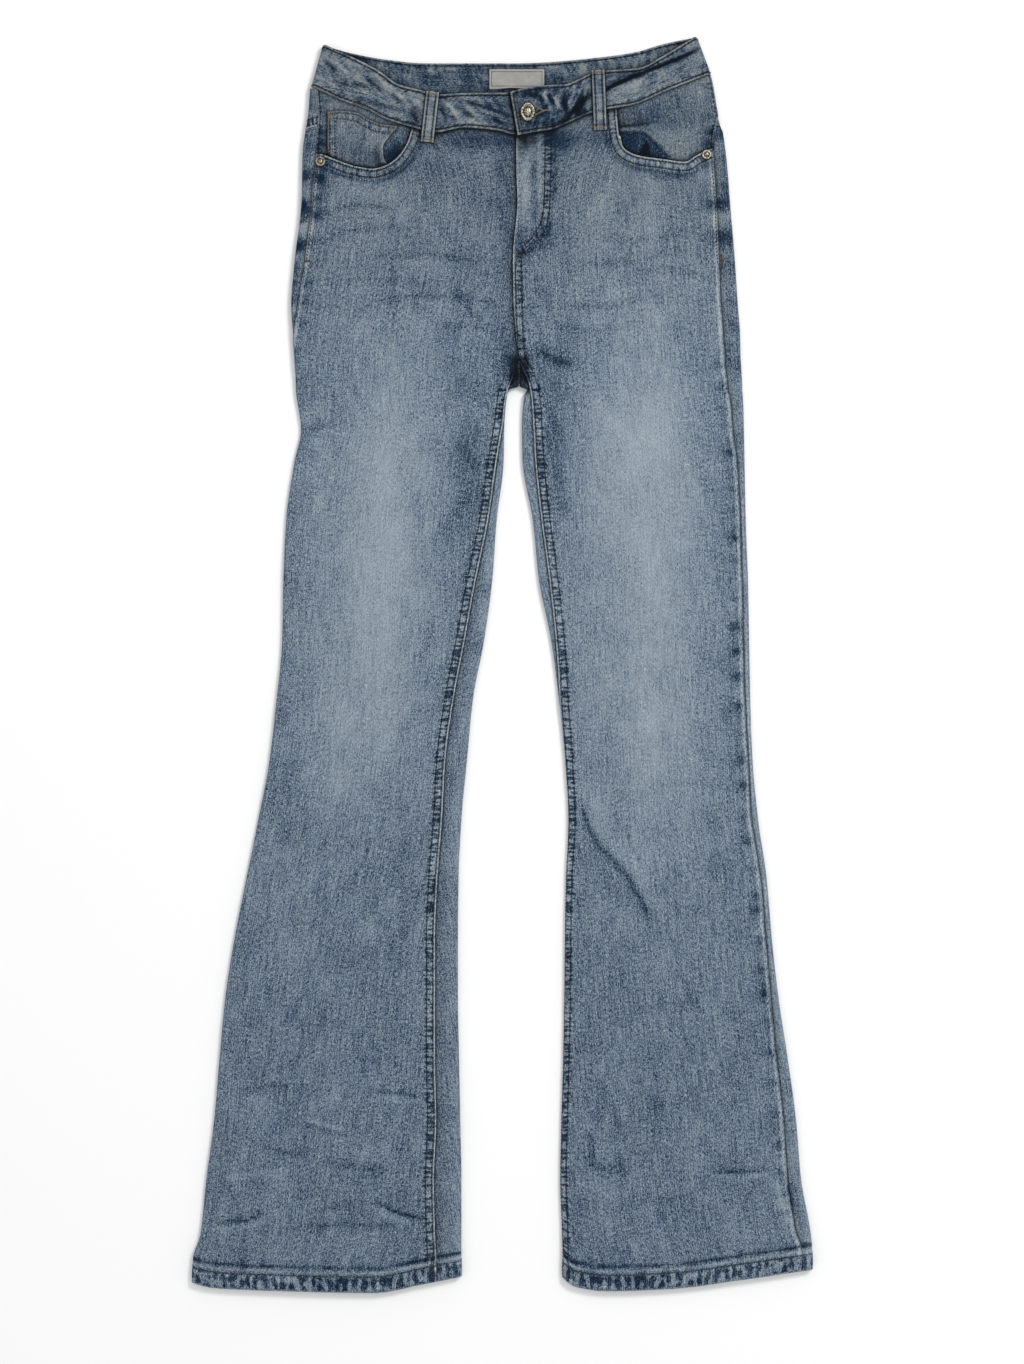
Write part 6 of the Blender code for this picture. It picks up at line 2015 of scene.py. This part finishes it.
def sew_up(cloth):
    """All the sewing that shows. Cloth gives each piece by its name."""
    tree = {name: cloth_tree(piece) for name, piece in cloth.items()}
    brown = Thread("brown_stitches", BROWN_THREAD)
    gold = Thread("golden_stitches", GOLD_THREAD)
    dark = Thread("dark_stitches", DARK_THREAD)

    for side in SIDES:
        front, back = tree[f"front_{side.name}_denim"], tree[f"back_{side.name}_denim"]
        mouth = mouth_line(side)
        for distance in STITCH_ROWS:
            dark.sew(front, beside(mouth, side.inward * distance)[4:-2])
        legs = np.linspace(238, HEM_LINE + 1, 400)
        for distance in STITCH_ROWS:
            p = side.inseam(legs) - distance
            dark.sew(front, front_surface(side)(legs, p))
        hips = np.linspace(438, 352, 60)
        dark.sew(front, front_surface(side)(hips, side.outseam(hips) + 1.9))
        for which, panel, turn in ((front_surface(side), front, 1), (back_surface(side), back, -1)):
            over = np.linspace(4, np.abs(side.inner(HEM_LINE) - side.side(HEM_LINE)) - 2, 90)
            height = np.full_like(over, HEM_LINE + HEM_STITCH)
            brown.sew(panel, which(height, turn * over))
        yoke_tree = tree[f"yoke_{side.name}_denim"]
        share = np.linspace(0.03, 0.97, 80)
        for distance in STITCH_ROWS:
            y = yoke_line(side, share) + distance
            start, end = side.outseam(y), back_middle(side, y)
            dark.sew(yoke_tree, back_surface(side)(y, start + share * (end - start)))
        if side is LEFT:
            centre = np.linspace(420, 284, 60)
            for distance in STITCH_ROWS:
                dark.sew(back, back_surface(side)(centre, back_end(side, centre) + distance))
        patch = tree[f"patch_{side.name}"]
        for inset in STITCH_ROWS:
            brown.sew(patch, patch_line(side, inset), from_above=False)
        brown.sew(patch, patch_mouth(side, 2.0), from_above=False)
        brown.sew(patch, patch_mouth(side, 16.0), from_above=False)

    front = tree["front_left_denim"]
    for line in (FLY_OUTER, FLY_INNER):
        dark.sew(front, along(line, 120), thick=1.1)
    centre = np.linspace(352, 268, 60)
    for distance in (2.0, 7.0):
        dark.sew(front, front_surface(LEFT)(centre, LEFT.inseam(centre) - distance))

    coin = tree["coin_pocket_denim"]
    for step in (0.05, 0.17):
        brown.sew(coin, np.stack(coin_place(np.linspace(0.02, 0.96, 60), np.full(60, step)), axis=1))
    for x in (COIN_TOP[0].x + 1.8, COIN_TOP[0].x + 6.4):
        line = np.linspace(column(COIN_TOP, "y", x, "x") - 2, mouth_height(RIGHT, x) + 2, 30)
        dark.sew(coin, np.stack([np.full(30, x), line], axis=1))
    gold.tack(coin, (-151.5, 482.6), (-151.5, 476.4))
    gold.tack(coin, (-97, 469.8), (-97.5, 465))

    sew_band(tree["band"], dark, gold)
    for loop in FRONT_LOOPS + BACK_LOOPS:
        sew_loop(tree[f"{loop.name}_denim"], loop, dark, gold)
    for bar in FRONT_TACKS:
        brown.tack(tree[bar.piece], (bar.x0, bar.y0), (bar.x1, bar.y1))
    sew_label(tree["label"], dark)
    return [thread.finished() for thread in (brown, gold, dark)]


def patch_line(side, inset):
    """A stitch line round the sides and foot of a patch pocket."""
    down = np.linspace(0.01, 1, 60)
    left = np.stack([PATCH_CENTRES[side.name] - patch_half(down), patch_edge(side, down, -1.0)[1]], axis=1)
    foot = patch_edge(side, np.array(1.0), np.linspace(-1, 1, 60))
    foot = np.stack(np.broadcast_arrays(*foot), axis=1)
    right = left[::-1] * [-1, 1] + [2 * PATCH_CENTRES[side.name], 0]
    line = np.concatenate([left, foot[1:-1], right])
    middle = np.array([PATCH_CENTRES[side.name], PATCH_TOP - PATCH_SIDE_HEIGHT / 2])
    reach = line - middle
    half_width, half_height = PATCH_LOW_WIDTH / 2, PATCH_MIDDLE_HEIGHT / 2
    return middle + reach * [1 - inset / half_width, 1 - inset / half_height]


def patch_mouth(side, below):
    """A stitch line across the mouth of a patch pocket."""
    half = PATCH_TOP_WIDTH / 2 - 1.5
    xs = np.linspace(-half, half, 40) + PATCH_CENTRES[side.name]
    return np.stack([xs, np.full(40, PATCH_TOP - below)], axis=1)


def sew_band(tree, dark, gold):
    """Rows of stitches along both edges of the band and inside its overlap, and the buttonhole."""
    points, facing = band_grid()
    across, _ = lengths(points)
    share = BAND_STITCH / across[:, -1:]
    low = points[:, 0] + (points[:, -1] - points[:, 0]) * share
    high = points[:, -1] + (points[:, 0] - points[:, -1]) * share
    normals = facing[:, 0]
    for line in (low, high):
        dark.sew(tree, (line + normals * BAND_WALL)[3:-3])
    inside = normals[:, 2] < -0.5
    for line in (low, high):
        dark.sew(tree, (line - normals * BAND_WALL)[inside])
    ends = np.array(BAND_LEFT[0])
    start, end = ends[:2] + [BAND_STITCH, BAND_STITCH], ends[2:] + [BAND_STITCH, -BAND_STITCH]
    dark.sew(tree, start + (end - start) * np.linspace(0, 1, 20)[:, None])
    for start, end in zip(BUTTONHOLE[:-1], BUTTONHOLE[1:]):
        gold.tack(tree, start, end, 1.7)
    gold.tack(tree, BUTTONHOLE[1], BUTTONHOLE_END, 1.5)
    gold.tack(tree, (134, 538.5), (138, 540.5), 3.0)


def sew_loop(tree, loop, dark, gold):
    """Two rows of stitches down a belt loop, and a bar tack at each end."""
    top, foot = np.array([loop.top_x, loop.top_y]), np.array([loop.foot_x, loop.foot_y])
    lean = (foot - top) / np.linalg.norm(foot - top)
    aside = np.array([lean[1], -lean[0]])
    over = loop in FRONT_LOOPS
    for sign in (-1, 1):
        inset = aside * sign * (LOOP_WIDTH / 2 - 2.3)
        dark.sew(tree, np.array([top + inset + lean, foot + inset - lean]), over)
    for end, step in ((top, 1.9), (foot, -1.9)):
        middle = end + lean * step
        gold.tack(tree, middle - aside * 4.6, middle + aside * 4.6, 1.8, over)


def sew_label(tree, dark):
    """A plain stitched frame on the bare label."""
    x, y = LABEL_CENTRE
    half_width, half_height = LABEL_SIZE[0] / 2 - 2.0, LABEL_SIZE[1] / 2 - 2.2
    sides = [((step, -half_height), (step, half_height)) for step in (-half_width, half_width)]
    sides += [((-half_width, step), (half_width, step)) for step in (-half_height, half_height)]
    for ends in sides:
        dark.sew(tree, np.array(ends) + [x, y], pitch=1.3, length=1.3, thick=0.5)


def floor():
    bm = bmesh.new()
    bmesh.ops.create_grid(bm, x_segments=1, y_segments=1, size=FLOOR_SIZE)
    bmesh.ops.translate(bm, verts=bm.verts, vec=(0.0, 0.0, -FLOOR_GAP))
    finish = Finish("pale floor", Base_Color=(0.99, 0.99, 0.99, 1), Roughness=0.9)
    add_object("floor", mesh_from(bm, "floor", finish.material))


def light(name, place, size, energy):
    """A round lamp that is turned to the middle of the scene."""
    lamp = bpy.data.lights.new(name, "AREA")
    lamp.shape = "DISK"
    lamp.size = size
    lamp.energy = energy
    made = add_object(name, lamp)
    made.location = place
    tilt = np.arccos(place[2] / np.linalg.norm(place))
    made.rotation_euler = (0.0, tilt, np.arctan2(place[1], place[0]))


def camera():
    lens = bpy.data.cameras.new("camera")
    lens.lens = LENS
    lens.sensor_width = SENSOR
    made = add_object("camera", lens)
    made.location = CAMERA_PLACE
    bpy.context.scene.camera = made


def surroundings():
    floor()
    light("key", KEY_PLACE, KEY_SIZE, KEY_ENERGY)
    world = bpy.data.worlds.new("studio")
    world.use_nodes = True
    background = world.node_tree.nodes["Background"]
    background.inputs["Color"].default_value = (1.0, 1.0, 1.0, 1)
    background.inputs["Strength"].default_value = WORLD_STRENGTH
    bpy.context.scene.world = world
    bpy.context.scene.view_settings.view_transform = "Standard"
    camera()


def build():
    sheets = {}
    for side in SIDES:
        under = back_panel(side)
        over = front_panel(side)
        sheets[under] = (Cut(0.30, 1.03, 0.200), ["floor"])
        sheets[over] = (Cut(0.28, 1.04, 0.185), [under])
        sheets[yoke(side)] = (Cut(0.20, 0.08, 0.0088), ["floor"])
        sheets[pocket_facing(side)] = (Cut(0.11, 0.08, 0.0055), [under])
        sheets[back_pocket(side)] = (Cut(0.138, 0.144, 0.0170), ["floor"])
        rivet(side)
    sheets[waistband()] = (Cut(0.040, 0.76, 0.0254), ["floor"])
    sheets[coin_pocket()] = (Cut(0.052, 0.055, 0.0021), ["facing_right"])
    for loop in FRONT_LOOPS:
        sheets[front_loop(loop)] = (Cut(0.011, 0.052, None), ["band"])
    for loop in BACK_LOOPS:
        sheets[back_loop(loop)] = (Cut(0.011, 0.050, None), ["floor"])
    sheets[label()] = (Cut(0.048, 0.017, None), ["band"])
    button()
    return sheets


surroundings()
sheets = build()
sew_up({piece.name: piece for piece in sheets})
